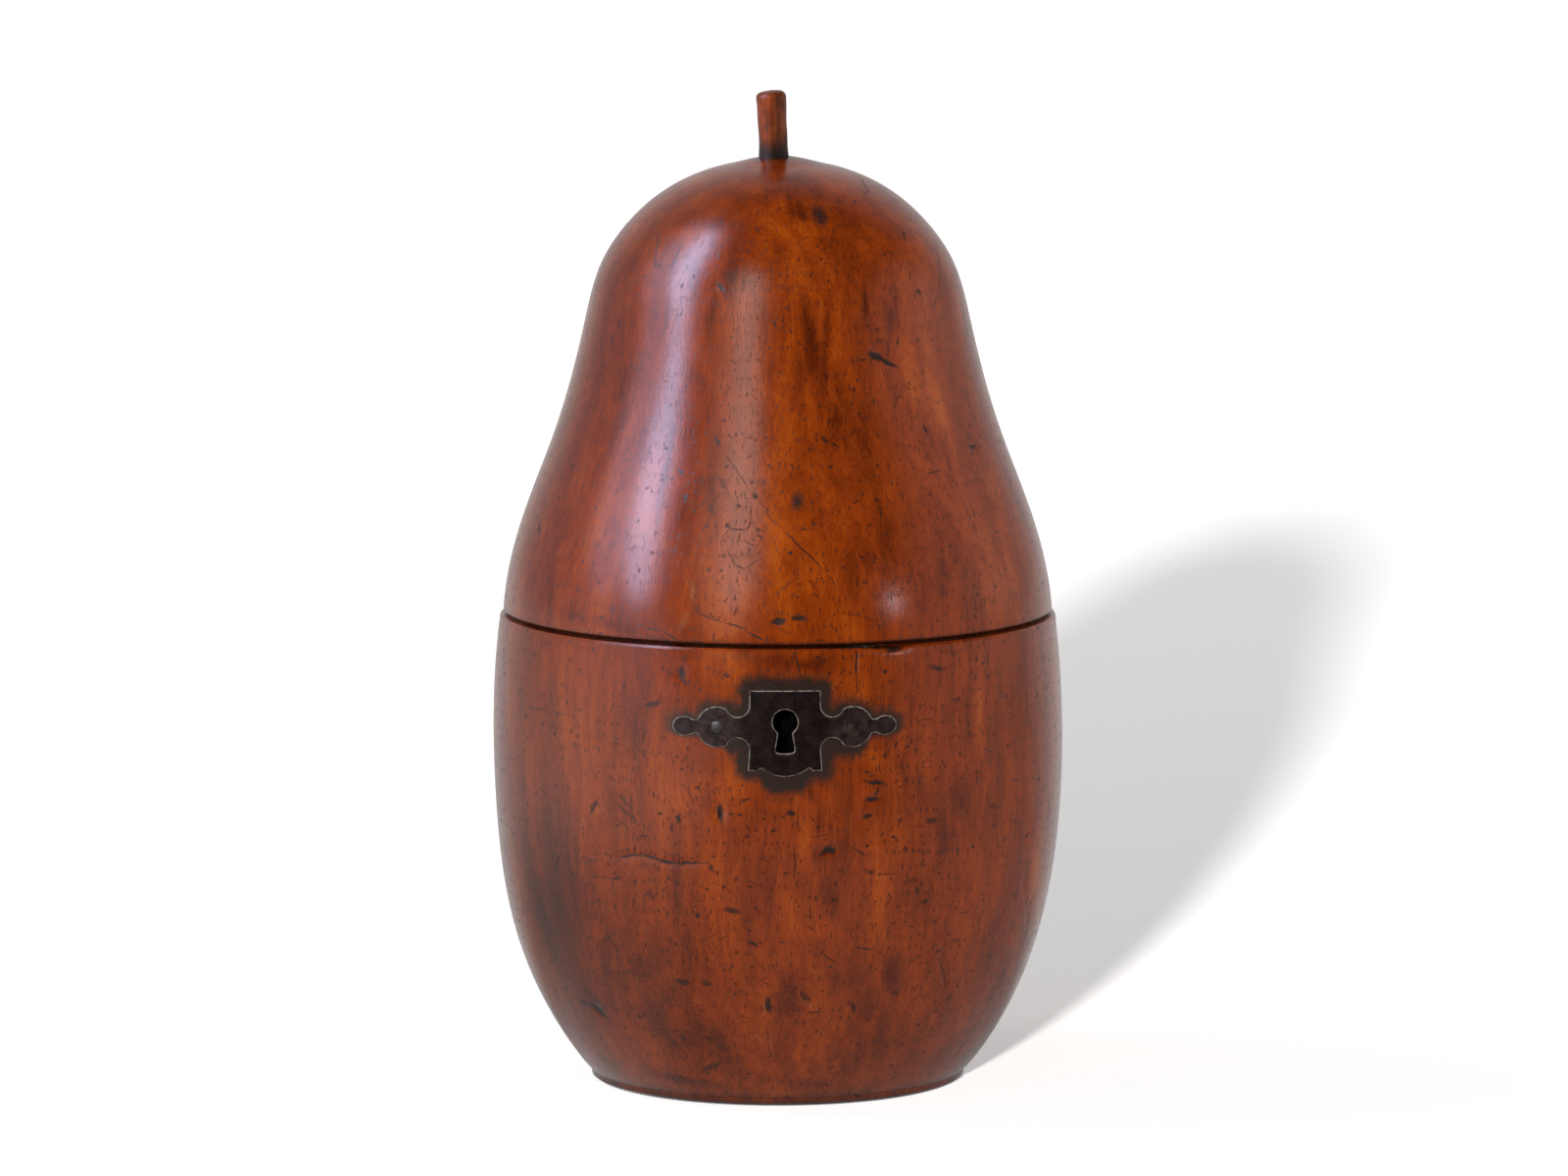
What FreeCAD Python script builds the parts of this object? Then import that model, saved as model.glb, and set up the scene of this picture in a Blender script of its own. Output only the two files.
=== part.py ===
import FreeCAD, Part
import os
import re
import Sketcher
from FreeCAD import Placement, Rotation, Vector

# Pear-shaped turned fruitwood tea caddy with a hinged lid and a small iron lock.
# Millimetres. The table is Z = 0, the keyhole faces -Y and the hinge is at +Y.

sizes = {
    # Bowl outline, from the foot up to the rim
    "foot_radius": 31.9,
    "foot_band": 1.3,
    "heel_radius": 35.7,
    "heel_height": 5.0,
    "flank_radius": 45.4,
    "flank_height": 20.7,
    "belly_radius": 49.0,
    "belly_height": 49.7,
    "shoulder_radius": 48.6,
    "shoulder_drop": 10.0,
    "rim_radius": 47.4,
    "seam_height": 80.0,
    "rim_bevel": 0.4,
    # Lid outline, heights above the lid's own rim
    "seam_gap": 0.5,
    "lid_setback": 0.6,
    "skirt_radius": 45.9,
    "skirt_rise": 11.9,
    "slope_radius": 36.9,
    "slope_rise": 30.9,
    "neck_radius": 32.2,
    "neck_rise": 52.5,
    "brow_radius": 29.5,
    "brow_rise": 64.2,
    "crown_radius": 14.1,
    "lid_height": 76.9,
    # Hollows, lip and foil
    "bowl_wall": 7.0,
    "bowl_floor": 8.0,
    "lid_wall": 6.5,
    "crown_thickness": 10.0,
    "lip_width": 2.7,
    "lip_height": 2.6,
    "lip_clearance": 0.4,
    "foil_gap": 0.1,
    "foil_thickness": 0.3,
    # Fruit stem
    "stem_shift": -0.7,
    "stem_lean": -0.6,
    "stem_base_radius": 2.55,
    "stem_waist_radius": 2.35,
    "stem_top_radius": 2.65,
    "stem_tenon_radius": 2.2,
    "stem_tenon": 7.0,
    "stem_length": 12.0,
    "stem_cut_angle": 6.0,
    # Hinge
    "hinge_width": 21.4,
    "hinge_stand_off": 1.2,
    "knuckle_radius": 2.2,
    "middle_knuckle": 7.8,
    "knuckle_gap": 0.3,
    "hinge_pin_radius": 0.9,
    "hinge_pin_length": 22.4,
    "pin_fit": 0.02,
    "pin_play": 0.05,
    "leaf_thickness": 1.2,
    "base_flange": 14.0,
    "lid_flange": 9.6,
    "leaf_fit": 0.05,
    # Lock
    "lock_setback": 4.84,
    "lock_rim_setback": 3.8,
    "key_drop": 12.05,
    "case_width": 28.0,
    "case_height": 17.8,
    "case_depth": 3.8,
    "case_wall": 1.0,
    "lock_plate_width": 36.0,
    "lock_plate_height": 20.0,
    "lock_plate_thickness": 1.2,
    "key_tip_radius": 1.2,
    "staple_slot_length": 10.0,
    "staple_slot_width": 2.5,
    "bolt_play": 0.3,
    "bolt_thickness": 2.0,
    "bolt_throw": 4.4,
    "tail_rise": 3.9,
    "tail_height": 2.4,
    "tail_left": 12.6,
    "tail_right": 8.0,
    "upright_width": 3.2,
    "nose_height": 2.3,
    "nose_gap": 0.5,
    "talon_width": 3.4,
    "talon_depth": 1.2,
    "stump_radius": 0.65,
    "stump_reach": 6.5,
    "stump_play": 0.12,
    "ward_radius": 3.5,
    "ward_thickness": 0.6,
    "ward_height": 1.0,
    "ward_opening": 3.8,
    "spring_thickness": 0.4,
    "spring_depth": 1.6,
    "spring_foot": 4.5,
    "spring_reach": 6.2,
    "spring_gap": 0.2,
    "rivet_radius": 0.7,
    "rivet_inset": 2.0,
    # Staple and its plate in the lid
    "staple_width": 9.0,
    "staple_thickness": 1.1,
    "staple_setback": 1.8,
    "staple_post": 4.0,
    "staple_gap": 0.4,
    "notch_play": 0.2,
    "strike_length": 17.0,
    "strike_margin": 0.8,
    "strike_fit": 0.06,
    "strike_thickness": 1.2,
    # Escutcheon, measured from the middle of the keyhole's round
    "escutcheon_sunk": 0.55,
    "escutcheon_proud": 0.25,
    "keyhole_radius": 2.12,
    "keyhole_drop": 5.1,
    "keyhole_neck": 2.3,
    "keyhole_foot": 3.3,
    "block_width": 11.9,
    "block_rise": 5.25,
    "block_drop": 8.2,
    "apron_radius": 5.9,
    "apron_drop": 9.15,
    "scallop_reach": 4.0,
    "scallop_radius": 0.45,
    "lobe_drop": 0.95,
    "lobe_reach": 11.3,
    "lobe_radius": 3.43,
    "notch_reach": 7.9,
    "notch_rise": 3.7,
    "notch_radius": 1.95,
    "waist_height": 2.6,
    "finial_reach": 16.95,
    "finial_radius": 1.7,
    "pin_radius": 0.55,
    "pin_length": 2.6,
    "pin_head_radius": 1.0,
    "pin_head_height": 0.45,
    # Countersunk screws and nails
    "screw_radius": 0.7,
    "screw_head_radius": 1.4,
    "screw_head_height": 0.8,
    "screw_slot_width": 0.35,
    "screw_slot_depth": 0.3,
    "lock_screw_length": 5.0,
    "lock_screw_inset": 1.8,
    "lock_screw_low": 4.0,
    "lock_screw_high": 16.0,
    "leaf_screw_length": 4.8,
    "leaf_screw_spacing": 7.0,
    "base_screw_drop": 8.0,
    "lid_screw_rise": 6.0,
    "nail_radius": 0.6,
    "nail_head_radius": 1.1,
    "nail_head_height": 0.6,
    "strike_nail_reach": 6.3,
    "strike_nail_inset": 1.35,
    "strike_nail_length": 5.0,
}

doc = FreeCAD.newDocument("pear_tea_caddy")
sheet = doc.addObject("Spreadsheet::Sheet", "Sizes")
for row, (name, value) in enumerate(sizes.items(), 1):
    sheet.set(f"A{row}", name)
    sheet.set(f"B{row}", str(value))
    sheet.setAlias(f"B{row}", name)
doc.recompute()

# Places that several pieces share
lid_rim = "(seam_height + seam_gap)"
lid_rim_radius = "(rim_radius - lid_setback)"
lid_top = f"({lid_rim} + lid_height)"
bowl_bore = "(rim_radius - bowl_wall)"
lip_radius = f"({bowl_bore} + lip_width)"
lip_top = "(seam_height + lip_height)"
rebate_radius = f"({lip_radius} + lip_clearance)"
rebate_top = f"({lip_top} + lip_clearance)"
lid_bore = f"({lid_rim_radius} - lid_wall)"
hinge_y = "(rim_radius + hinge_stand_off)"
hinge_z = "(seam_height + seam_gap / 2)"
tab_reach = f"({hinge_y} - knuckle_radius - leaf_thickness / 3)"
base_flange_y = bowl_bore
lid_flange_y = f"({lid_bore} - leaf_thickness / 2)"
# The bowl's curve at the keyhole is about one part rim, three parts shoulder and one part belly
key_face = "((rim_radius + 3 * shoulder_radius + belly_radius) / 5)"
# The lock keeps inside the wood both at the keyhole and under the rim
lock_front = f"max(lock_setback - {key_face}; lock_rim_setback - rim_radius)"
case_front = f"({lock_front} + case_wall)"
case_back = f"({lock_front} + case_depth)"
plate_back = f"({case_back} + lock_plate_thickness)"
case_top = "(seam_height - lock_plate_thickness)"
case_bottom = f"({case_top} - case_height)"
case_inner = "(case_width / 2 - case_wall)"
plate_bottom = "(seam_height - lock_plate_height)"
key_z = "(seam_height - key_drop)"
tail_bottom = f"({key_z} + tail_rise)"
tail_top = f"({tail_bottom} + tail_height)"
nose_top = f"({case_top} - bolt_play)"
nose_bottom = f"({nose_top} - nose_height)"
lobe_z = f"({key_z} - lobe_drop)"
outside = "(belly_radius + shoulder_radius)"


def sheet_text(text):
    # Puts the sheet's name before every size in the text of an expression.
    return re.sub(r"[a-z][a-z_]+\b(?!\()", lambda word: "Sizes." + word.group(), text)


def bind(thing, **bound):
    for prop, text in bound.items():
        thing.setExpression(prop.replace("__", "."), sheet_text(text))
    return thing


def value_of(text):
    return float(sheet.evalExpression(sheet_text(text)))


turn_to = {
    "+x": Rotation(Vector(0, 1, 0), 90),
    "+y": Rotation(Vector(1, 0, 0), -90),
    "-y": Rotation(Vector(1, 0, 0), 90),
    "+z": Rotation(),
}


def place(thing, spot, way="+z"):
    thing.Placement = Placement(Vector(), turn_to[way])
    x, y, z = spot
    return bind(thing, Placement__Base__x=x, Placement__Base__y=y, Placement__Base__z=z)


def box(name, spot, lengths):
    thing = doc.addObject("Part::Box", name)
    bind(thing, Length=lengths[0], Width=lengths[1], Height=lengths[2])
    return place(thing, spot)


def rod(name, spot, way, radius, length):
    thing = doc.addObject("Part::Cylinder", name)
    bind(thing, Radius=radius, Height=length)
    return place(thing, spot, way)


def fuse(name, *shapes):
    thing = doc.addObject("Part::MultiFuse", name)
    thing.Shapes = list(shapes)
    return thing


def cut(name, base, *tools):
    thing = doc.addObject("Part::Cut", name)
    thing.Base = base
    thing.Tool = tools[0] if len(tools) == 1 else fuse(name + "_tools", *tools)
    return thing


def common(name, base, tool):
    thing = doc.addObject("Part::Common", name)
    thing.Base = base
    thing.Tool = tool
    return thing


def group(name, shapes):
    thing = doc.addObject("Part::Compound", name)
    thing.Links = shapes
    return thing


def origin_plane(body, role):
    return [plane for plane in body.Origin.OriginFeatures if plane.Role == role][0]


def sketch_on(body, name, role, offset="0"):
    sketch = body.newObject("Sketcher::SketchObject", name)
    sketch.AttachmentSupport = [(origin_plane(body, role), "")]
    sketch.MapMode = "FlatFace"
    return bind(sketch, AttachmentOffset__Base__z=offset)


def point_at(spot):
    return Vector(value_of(spot[0]), value_of(spot[1]), 0)


def hold(sketch, item, point, spot):
    # Ties one point of the sketch to its two sizes.
    for kind, text in zip(("DistanceX", "DistanceY"), spot):
        number = sketch.addConstraint(Sketcher.Constraint(kind, -1, 1, item, point, value_of(text)))
        sketch.setExpression(f"Constraints[{number}]", sheet_text(text))


def add_spline(sketch, poles):
    # A cubic curve that starts on the first pole, ends on the last and is drawn to those between.
    spots = [point_at(pole) for pole in poles]
    spans = len(poles) - 3
    repeats = [4] + [1] * (spans - 1) + [4]
    curve = Part.BSplineCurve()
    curve.buildFromPolesMultsKnots(spots, repeats, list(range(spans + 1)), False, 3)
    item = sketch.addGeometry(curve, False)
    for index, spot in enumerate(spots):
        circle = sketch.addGeometry(Part.Circle(spot, Vector(0, 0, 1), 1.0), True)
        kind = "InternalAlignment:Sketcher::BSplineControlPoint"
        sketch.addConstraint(Sketcher.Constraint(kind, circle, 3, item, index))
        sketch.addConstraint(Sketcher.Constraint("Weight", circle, 1.0))
        hold(sketch, circle, 3, poles[index])
    return item


def add_outline(sketch, runs):
    # A closed outline of runs joined end to end: two spots make a line, more make a curve.
    items = []
    for spots in runs:
        if len(spots) > 2:
            items.append(add_spline(sketch, spots))
        else:
            line = Part.LineSegment(point_at(spots[0]), point_at(spots[1]))
            items.append(sketch.addGeometry(line, False))
    for index, item in enumerate(items):
        following = items[(index + 1) % len(items)]
        sketch.addConstraint(Sketcher.Constraint("Coincident", item, 2, following, 1))
        if len(runs[index]) == 2 and len(runs[index - 1]) == 2:
            hold(sketch, item, 1, runs[index][0])


def polygon(corners):
    return [[corner, corners[(index + 1) % len(corners)]] for index, corner in enumerate(corners)]


def turned(name, runs):
    # A piece turned on the lathe about the caddy's axis.
    body = doc.addObject("PartDesign::Body", name)
    sketch = sketch_on(body, name + "_outline", "XZ_Plane")
    add_outline(sketch, runs)
    turn = body.newObject("PartDesign::Revolution", name + "_turn")
    turn.Profile = sketch
    turn.ReferenceAxis = (sketch, ["V_Axis"])
    turn.Angle = 360
    return body


def sawn(name, outlines, start, depth):
    # A flat piece seen from the front, from Y = -start towards the front by its depth.
    body = doc.addObject("PartDesign::Body", name)
    sketch = sketch_on(body, name + "_outline", "XZ_Plane", start)
    for outline in outlines:
        add_outline(sketch, polygon(outline))
    pad = body.newObject("PartDesign::Pad", name + "_pad")
    pad.Profile = sketch
    bind(pad, Length=depth)
    return body


def carve_box(body, name, spot, lengths):
    feature = body.newObject("PartDesign::SubtractiveBox", name)
    feature.AttachmentSupport = [(origin_plane(body, "XY_Plane"), "")]
    feature.MapMode = "FlatFace"
    bind(feature, Length=lengths[0], Width=lengths[1], Height=lengths[2])
    x, y, z = spot
    bind(feature, AttachmentOffset__Base__x=x, AttachmentOffset__Base__y=y, AttachmentOffset__Base__z=z)


def carve_rod(body, name, spot, way, radius, length):
    feature = body.newObject("PartDesign::SubtractiveCylinder", name)
    feature.AttachmentSupport = [(origin_plane(body, "XY_Plane"), "")]
    feature.MapMode = "FlatFace"
    feature.AttachmentOffset = Placement(Vector(), turn_to[way])
    bind(feature, Radius=radius, Height=length)
    x, y, z = spot
    bind(feature, AttachmentOffset__Base__x=x, AttachmentOffset__Base__y=y, AttachmentOffset__Base__z=z)


def countersunk(kind, name, spots, way, length):
    # Screws or nails with their heads flush at the spots, as blanks that also make the holes.
    blanks = []
    for index, spot in enumerate(spots):
        head = doc.addObject("Part::Cone", f"{name}_head_{index}")
        bind(head, Radius1=f"{kind}_head_radius", Radius2=f"{kind}_radius", Height=f"{kind}_head_height")
        place(head, spot, way)
        shank = rod(f"{name}_shank_{index}", spot, way, f"{kind}_radius", length)
        blanks.append(fuse(f"{name}_blank_{index}", head, shank))
    return group(name + "_blanks", blanks)


def slots(name, spots, face_offset):
    # Driver slots across the heads, level with the table.
    tools = []
    for index, (x, y, z) in enumerate(spots):
        corner = (f"{x} - screw_head_radius", f"{y} + {face_offset}", f"{z} - screw_slot_width / 2")
        span = ("2 * screw_head_radius", "2 * screw_slot_depth", "screw_slot_width")
        tools.append(box(f"{name}_slot_{index}", corner, span))
    return group(name + "_slots", tools)


# Shared curves
def bowl_curve(offset, start="foot_band"):
    return [
        (f"foot_radius + {offset}", start),
        (f"heel_radius + {offset}", "heel_height"),
        (f"flank_radius + {offset}", "flank_height"),
        (f"belly_radius + {offset}", "belly_height"),
        (f"shoulder_radius + {offset}", "seam_height - shoulder_drop"),
        (f"rim_radius + {offset}", "seam_height - rim_bevel"),
    ]


def bowl_hollow(offset):
    return [
        (f"rim_radius - bowl_wall - {offset}", "seam_height"),
        (f"shoulder_radius - bowl_wall - {offset}", "seam_height - shoulder_drop"),
        (f"belly_radius - bowl_wall - {offset}", "belly_height"),
        (f"flank_radius - bowl_wall - {offset}", "flank_height"),
        (f"heel_radius - bowl_wall - {offset}", f"bowl_floor + {offset}"),
        ("0", f"bowl_floor + {offset}"),
    ]


def lid_curve():
    return [
        (lid_rim_radius, f"{lid_rim} + rim_bevel"),
        ("skirt_radius", f"{lid_rim} + skirt_rise"),
        ("slope_radius", f"{lid_rim} + slope_rise"),
        ("neck_radius", f"{lid_rim} + neck_rise"),
        ("brow_radius", f"{lid_rim} + brow_rise"),
        ("crown_radius", lid_top),
        ("0", lid_top),
    ]


def lid_hollow(offset):
    top = f"{lid_top} - crown_thickness - {offset}"
    return [
        ("0", top),
        (f"brow_radius - lid_wall - {offset}", top),
        (f"neck_radius - lid_wall - {offset}", f"{lid_rim} + neck_rise"),
        (f"slope_radius - lid_wall - {offset}", f"{lid_rim} + slope_rise"),
        (f"skirt_radius - lid_wall - {offset}", f"{lid_rim} + skirt_rise"),
        (f"{lid_bore} - {offset}", rebate_top),
    ]


def bowl_shell(name, inner, outer):
    # The layer between two offsets of the bowl's outside.
    outside_run = bowl_curve(outer)
    inside_run = bowl_curve(inner)[::-1]
    return turned(name, [
        outside_run,
        [outside_run[-1], inside_run[0]],
        inside_run,
        [inside_run[-1], outside_run[0]],
    ])


# Keyhole, one tool for the plate, the wood and the lock case
key_way_start = f"(bolt_play - {case_front})"
key_way_depth = f"({outside} - {key_way_start})"
keyhole_round = rod(
    "keyhole_round", ("0", f"-{key_way_start} + 2 * bolt_play", key_z), "-y", "keyhole_radius", outside
)
keyhole_slot = sawn("keyhole_slot", [[
    ("-keyhole_neck / 2", key_z),
    ("-keyhole_foot / 2", f"{key_z} - keyhole_drop"),
    ("keyhole_foot / 2", f"{key_z} - keyhole_drop"),
    ("keyhole_neck / 2", key_z),
]], f"{key_way_start} - 2 * bolt_play", key_way_depth)
keyhole = fuse("keyhole", keyhole_round, keyhole_slot)

# Escutcheon plate, cut from sheet and bent to the bowl
def bar(name, x, z, width, height):
    return box(name, (x, f"-{outside}", z), (width, outside, height))


def disc(name, x, z, radius):
    return rod(name, (x, "0", z), "-y", radius, outside)


plate_parts = [
    bar("plate_block", "-block_width / 2", f"{key_z} - block_drop", "block_width", "block_rise + block_drop"),
    disc("plate_apron", "0", f"{key_z} - apron_drop + apron_radius", "apron_radius"),
    bar("plate_waist", "-finial_reach", f"{lobe_z} - waist_height / 2", "2 * finial_reach", "waist_height"),
    bar("plate_fill", "-lobe_reach + lobe_radius / 2", f"{lobe_z} - notch_rise",
        "2 * lobe_reach - lobe_radius", "2 * notch_rise"),
]
plate_cuts = []
for side, sign in (("left", "-"), ("right", "")):
    plate_parts.append(disc(f"plate_lobe_{side}", f"{sign}lobe_reach", lobe_z, "lobe_radius"))
    plate_parts.append(disc(f"plate_finial_{side}", f"{sign}finial_reach", lobe_z, "finial_radius"))
    for end, rise in (("low", "-"), ("high", "+")):
        notch_z = f"{lobe_z} {rise} notch_rise"
        plate_cuts.append(disc(f"plate_notch_{side}_{end}", f"{sign}notch_reach", notch_z, "notch_radius"))
    scallop_z = f"{key_z} - block_drop"
    plate_cuts.append(disc(f"plate_scallop_{side}", f"{sign}scallop_reach", scallop_z, "scallop_radius"))
plate_outline = cut("plate_outline", fuse("plate_sheet", *plate_parts), *plate_cuts)
plate_layer = bowl_shell("plate_layer", "(-escutcheon_sunk)", "escutcheon_proud")
plate_blank = common("plate_blank", plate_outline, plate_layer)

# Escutcheon pins, whose heads sit on the plate
shank_layer = bowl_shell("shank_layer", "(-pin_length)", "escutcheon_proud")
head_layer = bowl_shell("head_layer", "escutcheon_proud", "(escutcheon_proud + pin_head_height)")
pin_solids = []
for side, sign in (("left", "-"), ("right", "")):
    shank = common(f"pin_shank_{side}", disc(f"pin_rod_{side}", f"{sign}lobe_reach", lobe_z, "pin_radius"),
                   shank_layer)
    head = common(f"pin_head_{side}", disc(f"pin_cap_{side}", f"{sign}lobe_reach", lobe_z, "pin_head_radius"),
                  head_layer)
    pin_solids.append(fuse(f"escutcheon_pin_{side}", shank, head))
escutcheon_pins = group("escutcheon_pins", pin_solids)
escutcheon_plate = cut("escutcheon_plate", plate_blank, keyhole, escutcheon_pins)

# Lock case, open at the back and at the top
case_shell = box("case_shell", ("-case_width / 2", lock_front, case_bottom),
                 ("case_width", "case_depth", "case_height"))
case_room = box("case_room", (f"-{case_inner}", case_front, f"{case_bottom} + case_wall"),
                (f"2 * {case_inner}", "case_depth", "case_height"))
rivet_low = f"{case_bottom} + rivet_inset + stump_play"
rivet_high = f"{case_top} - rivet_inset"
rivet_spots = [
    ("rivet_inset - case_width / 2", lock_front, rivet_low),
    ("case_width / 2 - rivet_inset", lock_front, rivet_low),
    ("case_width / 2 - rivet_inset", lock_front, rivet_high),
]
lock_rivets = group("lock_rivets", [
    rod(f"lock_rivet_{index}", spot, "+y", "rivet_radius", "case_depth + lock_plate_thickness")
    for index, spot in enumerate(rivet_spots)
])
lock_case = cut("lock_case", case_shell, case_room, keyhole, lock_rivets)

# Lock plate, a back plate with the selvage bent over the top of the case
back_plate = box("back_plate", ("-lock_plate_width / 2", case_back, plate_bottom),
                 ("lock_plate_width", "lock_plate_thickness", "lock_plate_height"))
selvage = box("selvage", ("-case_width / 2", lock_front, case_top),
              ("case_width", "case_depth", "lock_plate_thickness"))
slot_front = f"({lock_front} + staple_setback - staple_slot_width / 3)"
staple_slot = box("staple_slot", ("-staple_slot_length / 2", slot_front, case_top),
                  ("staple_slot_length", "staple_slot_width", "2 * lock_plate_thickness"))
key_tip_hole = rod("key_tip_hole", ("0", case_back, key_z), "+y", "key_tip_radius", "case_depth")
screw_x = "(lock_plate_width / 2 - lock_screw_inset)"
lock_screw_spots = [
    (f"{sign}{screw_x}", plate_back, f"{plate_bottom} + {rise}")
    for sign in ("-", "") for rise in ("lock_screw_low", "lock_screw_high")
]
lock_screw_blanks = countersunk("screw", "lock_screw", lock_screw_spots, "-y", "lock_screw_length")
lock_screws = cut("lock_screws", lock_screw_blanks, slots("lock_screw", lock_screw_spots, "(-screw_slot_depth)"))
lock_plate = cut("lock_plate", fuse("lock_plate_blank", back_plate, selvage),
                 staple_slot, key_tip_hole, lock_screw_blanks, lock_rivets)

# Bolt, drawn back to the left, with the talon that the key pushes and a slot for the stump
talon_x = "(-bolt_throw / 2)"
talon_top = f"{tail_bottom} + talon_depth"
stump_room = "(stump_radius + stump_play)"
stump_z = f"({tail_bottom} + tail_height / 2)"
bolt_front = f"({case_front} + bolt_play)"
nose_tip = "(-staple_width / 2 - nose_gap)"
lock_bolt = sawn("lock_bolt", [
    [
        ("-tail_left", tail_bottom),
        (f"{talon_x} - talon_width / 2", tail_bottom),
        (f"{talon_x} - talon_width / 3", talon_top),
        (f"{talon_x} + talon_width / 3", talon_top),
        (f"{talon_x} + talon_width / 2", tail_bottom),
        ("tail_right", tail_bottom),
        ("tail_right", tail_top),
        ("-tail_left + upright_width", tail_top),
        ("-tail_left + upright_width", nose_bottom),
        (nose_tip, nose_bottom),
        (nose_tip, nose_top),
        ("-tail_left", nose_top),
    ],
    [
        (f"stump_reach - bolt_throw - {stump_room}", f"{stump_z} - {stump_room}"),
        (f"stump_reach + {stump_room}", f"{stump_z} - {stump_room}"),
        (f"stump_reach + {stump_room}", f"{stump_z} + {stump_room}"),
        (f"stump_reach - bolt_throw - {stump_room}", f"{stump_z} + {stump_room}"),
    ],
], f"-{bolt_front} - bolt_thickness", "bolt_thickness")
bolt_stump = rod("bolt_stump", ("stump_reach", case_front, stump_z), "+y", "stump_radius",
                 "bolt_thickness + 2 * bolt_play")

# Wards, two arcs round the keyhole on the case front
ward_ring = cut(
    "ward_ring",
    rod("ward_outside", ("0", case_front, key_z), "+y", "ward_radius", "ward_height"),
    rod("ward_inside", ("0", case_front, key_z), "+y", "ward_radius - ward_thickness", "ward_height"),
)
key_wards = cut("key_wards", ward_ring, box(
    "ward_gap", ("-ward_opening / 2", case_front, f"{key_z} - 2 * ward_radius"),
    ("ward_opening", "ward_height", "4 * ward_radius")))

# Leaf spring, its foot on the case wall and its tip under the bolt's tail
spring_tip = f"({tail_bottom} - spring_gap)"
spring_low = f"({spring_tip} - 2 * spring_foot / 3 - spring_foot)"
bolt_spring = sawn("bolt_spring", [[
    (case_inner, spring_low),
    (case_inner, f"{spring_low} + spring_foot"),
    (f"{case_inner} - spring_reach", spring_tip),
    (f"{case_inner} - spring_reach", f"{spring_tip} - spring_thickness"),
    (f"{case_inner} - spring_thickness", f"{spring_low} + spring_foot - spring_thickness"),
    (f"{case_inner} - spring_thickness", spring_low),
]], f"-{bolt_front} - spring_depth", "spring_depth")

# Staple that drops through the selvage, on a plate let into the lid's rebate
staple_front = f"({lock_front} + staple_setback)"
staple_bottom = f"({tail_top} + staple_gap)"
notch_bottom = f"({nose_bottom} - notch_play)"
notch_top = f"({nose_top} + notch_play)"
strike_top = f"({rebate_top} + strike_thickness)"
strike_y = f"(strike_fit - sqrt({rebate_radius} ^ 2 - strike_length ^ 2 / 4))"
strike_width = f"({staple_front} + staple_thickness + strike_margin - {strike_y})"
lock_staple = sawn("lock_staple", [[
    ("-staple_width / 2", staple_bottom),
    ("staple_width / 2", staple_bottom),
    ("staple_width / 2", rebate_top),
    ("-staple_width / 2", rebate_top),
    ("-staple_width / 2", notch_top),
    ("staple_width / 2 - staple_post", notch_top),
    ("staple_width / 2 - staple_post", notch_bottom),
    ("-staple_width / 2", notch_bottom),
]], f"-{staple_front} - staple_thickness", "staple_thickness")
strike_blank = box("strike_blank", ("-strike_length / 2", strike_y, rebate_top),
                   ("strike_length", strike_width, "strike_thickness"))
strike_nail_spots = [
    (f"{sign}strike_nail_reach", f"{strike_y} + strike_nail_inset", rebate_top) for sign in ("-", "")
]
strike_nails = countersunk("nail", "strike_nail", strike_nail_spots, "+z", "strike_nail_length")
strike_nails.Label = "strike_nails"
strike_plate = cut("strike_plate", strike_blank, strike_nails)

# Hinge, two bent leaves with their knuckles round a long pin
half_hinge = "(hinge_width / 2)"
half_middle = "(middle_knuckle / 2)"
outer_start = f"({half_middle} + knuckle_gap)"
outer_length = f"({half_hinge} - {outer_start})"


def knuckle(name, start, length):
    return rod(name, (start, hinge_y, hinge_z), "+x", "knuckle_radius", length)


def pin_bore(name, room):
    return rod(name, ("-hinge_width", hinge_y, hinge_z), "+x", f"hinge_pin_radius + {room}", "2 * hinge_width")


base_tab_z = "(seam_height - leaf_thickness)"
base_leaf_parts = [
    box("base_tab", (f"-{half_hinge}", base_flange_y, base_tab_z),
        ("hinge_width", f"{tab_reach} - {base_flange_y}", "leaf_thickness")),
    box("base_flange_plate", (f"-{half_hinge}", base_flange_y, "seam_height - base_flange"),
        ("hinge_width", "leaf_thickness", "base_flange")),
]
for side, start in (("left", f"-{half_hinge}"), ("right", outer_start)):
    base_leaf_parts.append(knuckle(f"base_knuckle_{side}", start, outer_length))
    base_leaf_parts.append(box(f"base_neck_{side}", (start, f"{hinge_y} - knuckle_radius - leaf_thickness", base_tab_z),
                               (outer_length, "knuckle_radius + leaf_thickness", "leaf_thickness")))
base_screw_spots = [
    (f"{step} * leaf_screw_spacing", base_flange_y, "seam_height - base_screw_drop") for step in (-1, 0, 1)
]
base_screw_blanks = countersunk("screw", "base_leaf_screw", base_screw_spots, "+y", "leaf_screw_length")
base_leaf_screws = cut("base_leaf_screws", base_screw_blanks,
                       slots("base_leaf_screw", base_screw_spots, "(-screw_slot_depth)"))
hinge_leaf_base = cut("hinge_leaf_base", fuse("base_leaf_blank", *base_leaf_parts),
                      pin_bore("base_bore", "pin_fit"), base_screw_blanks)

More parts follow.
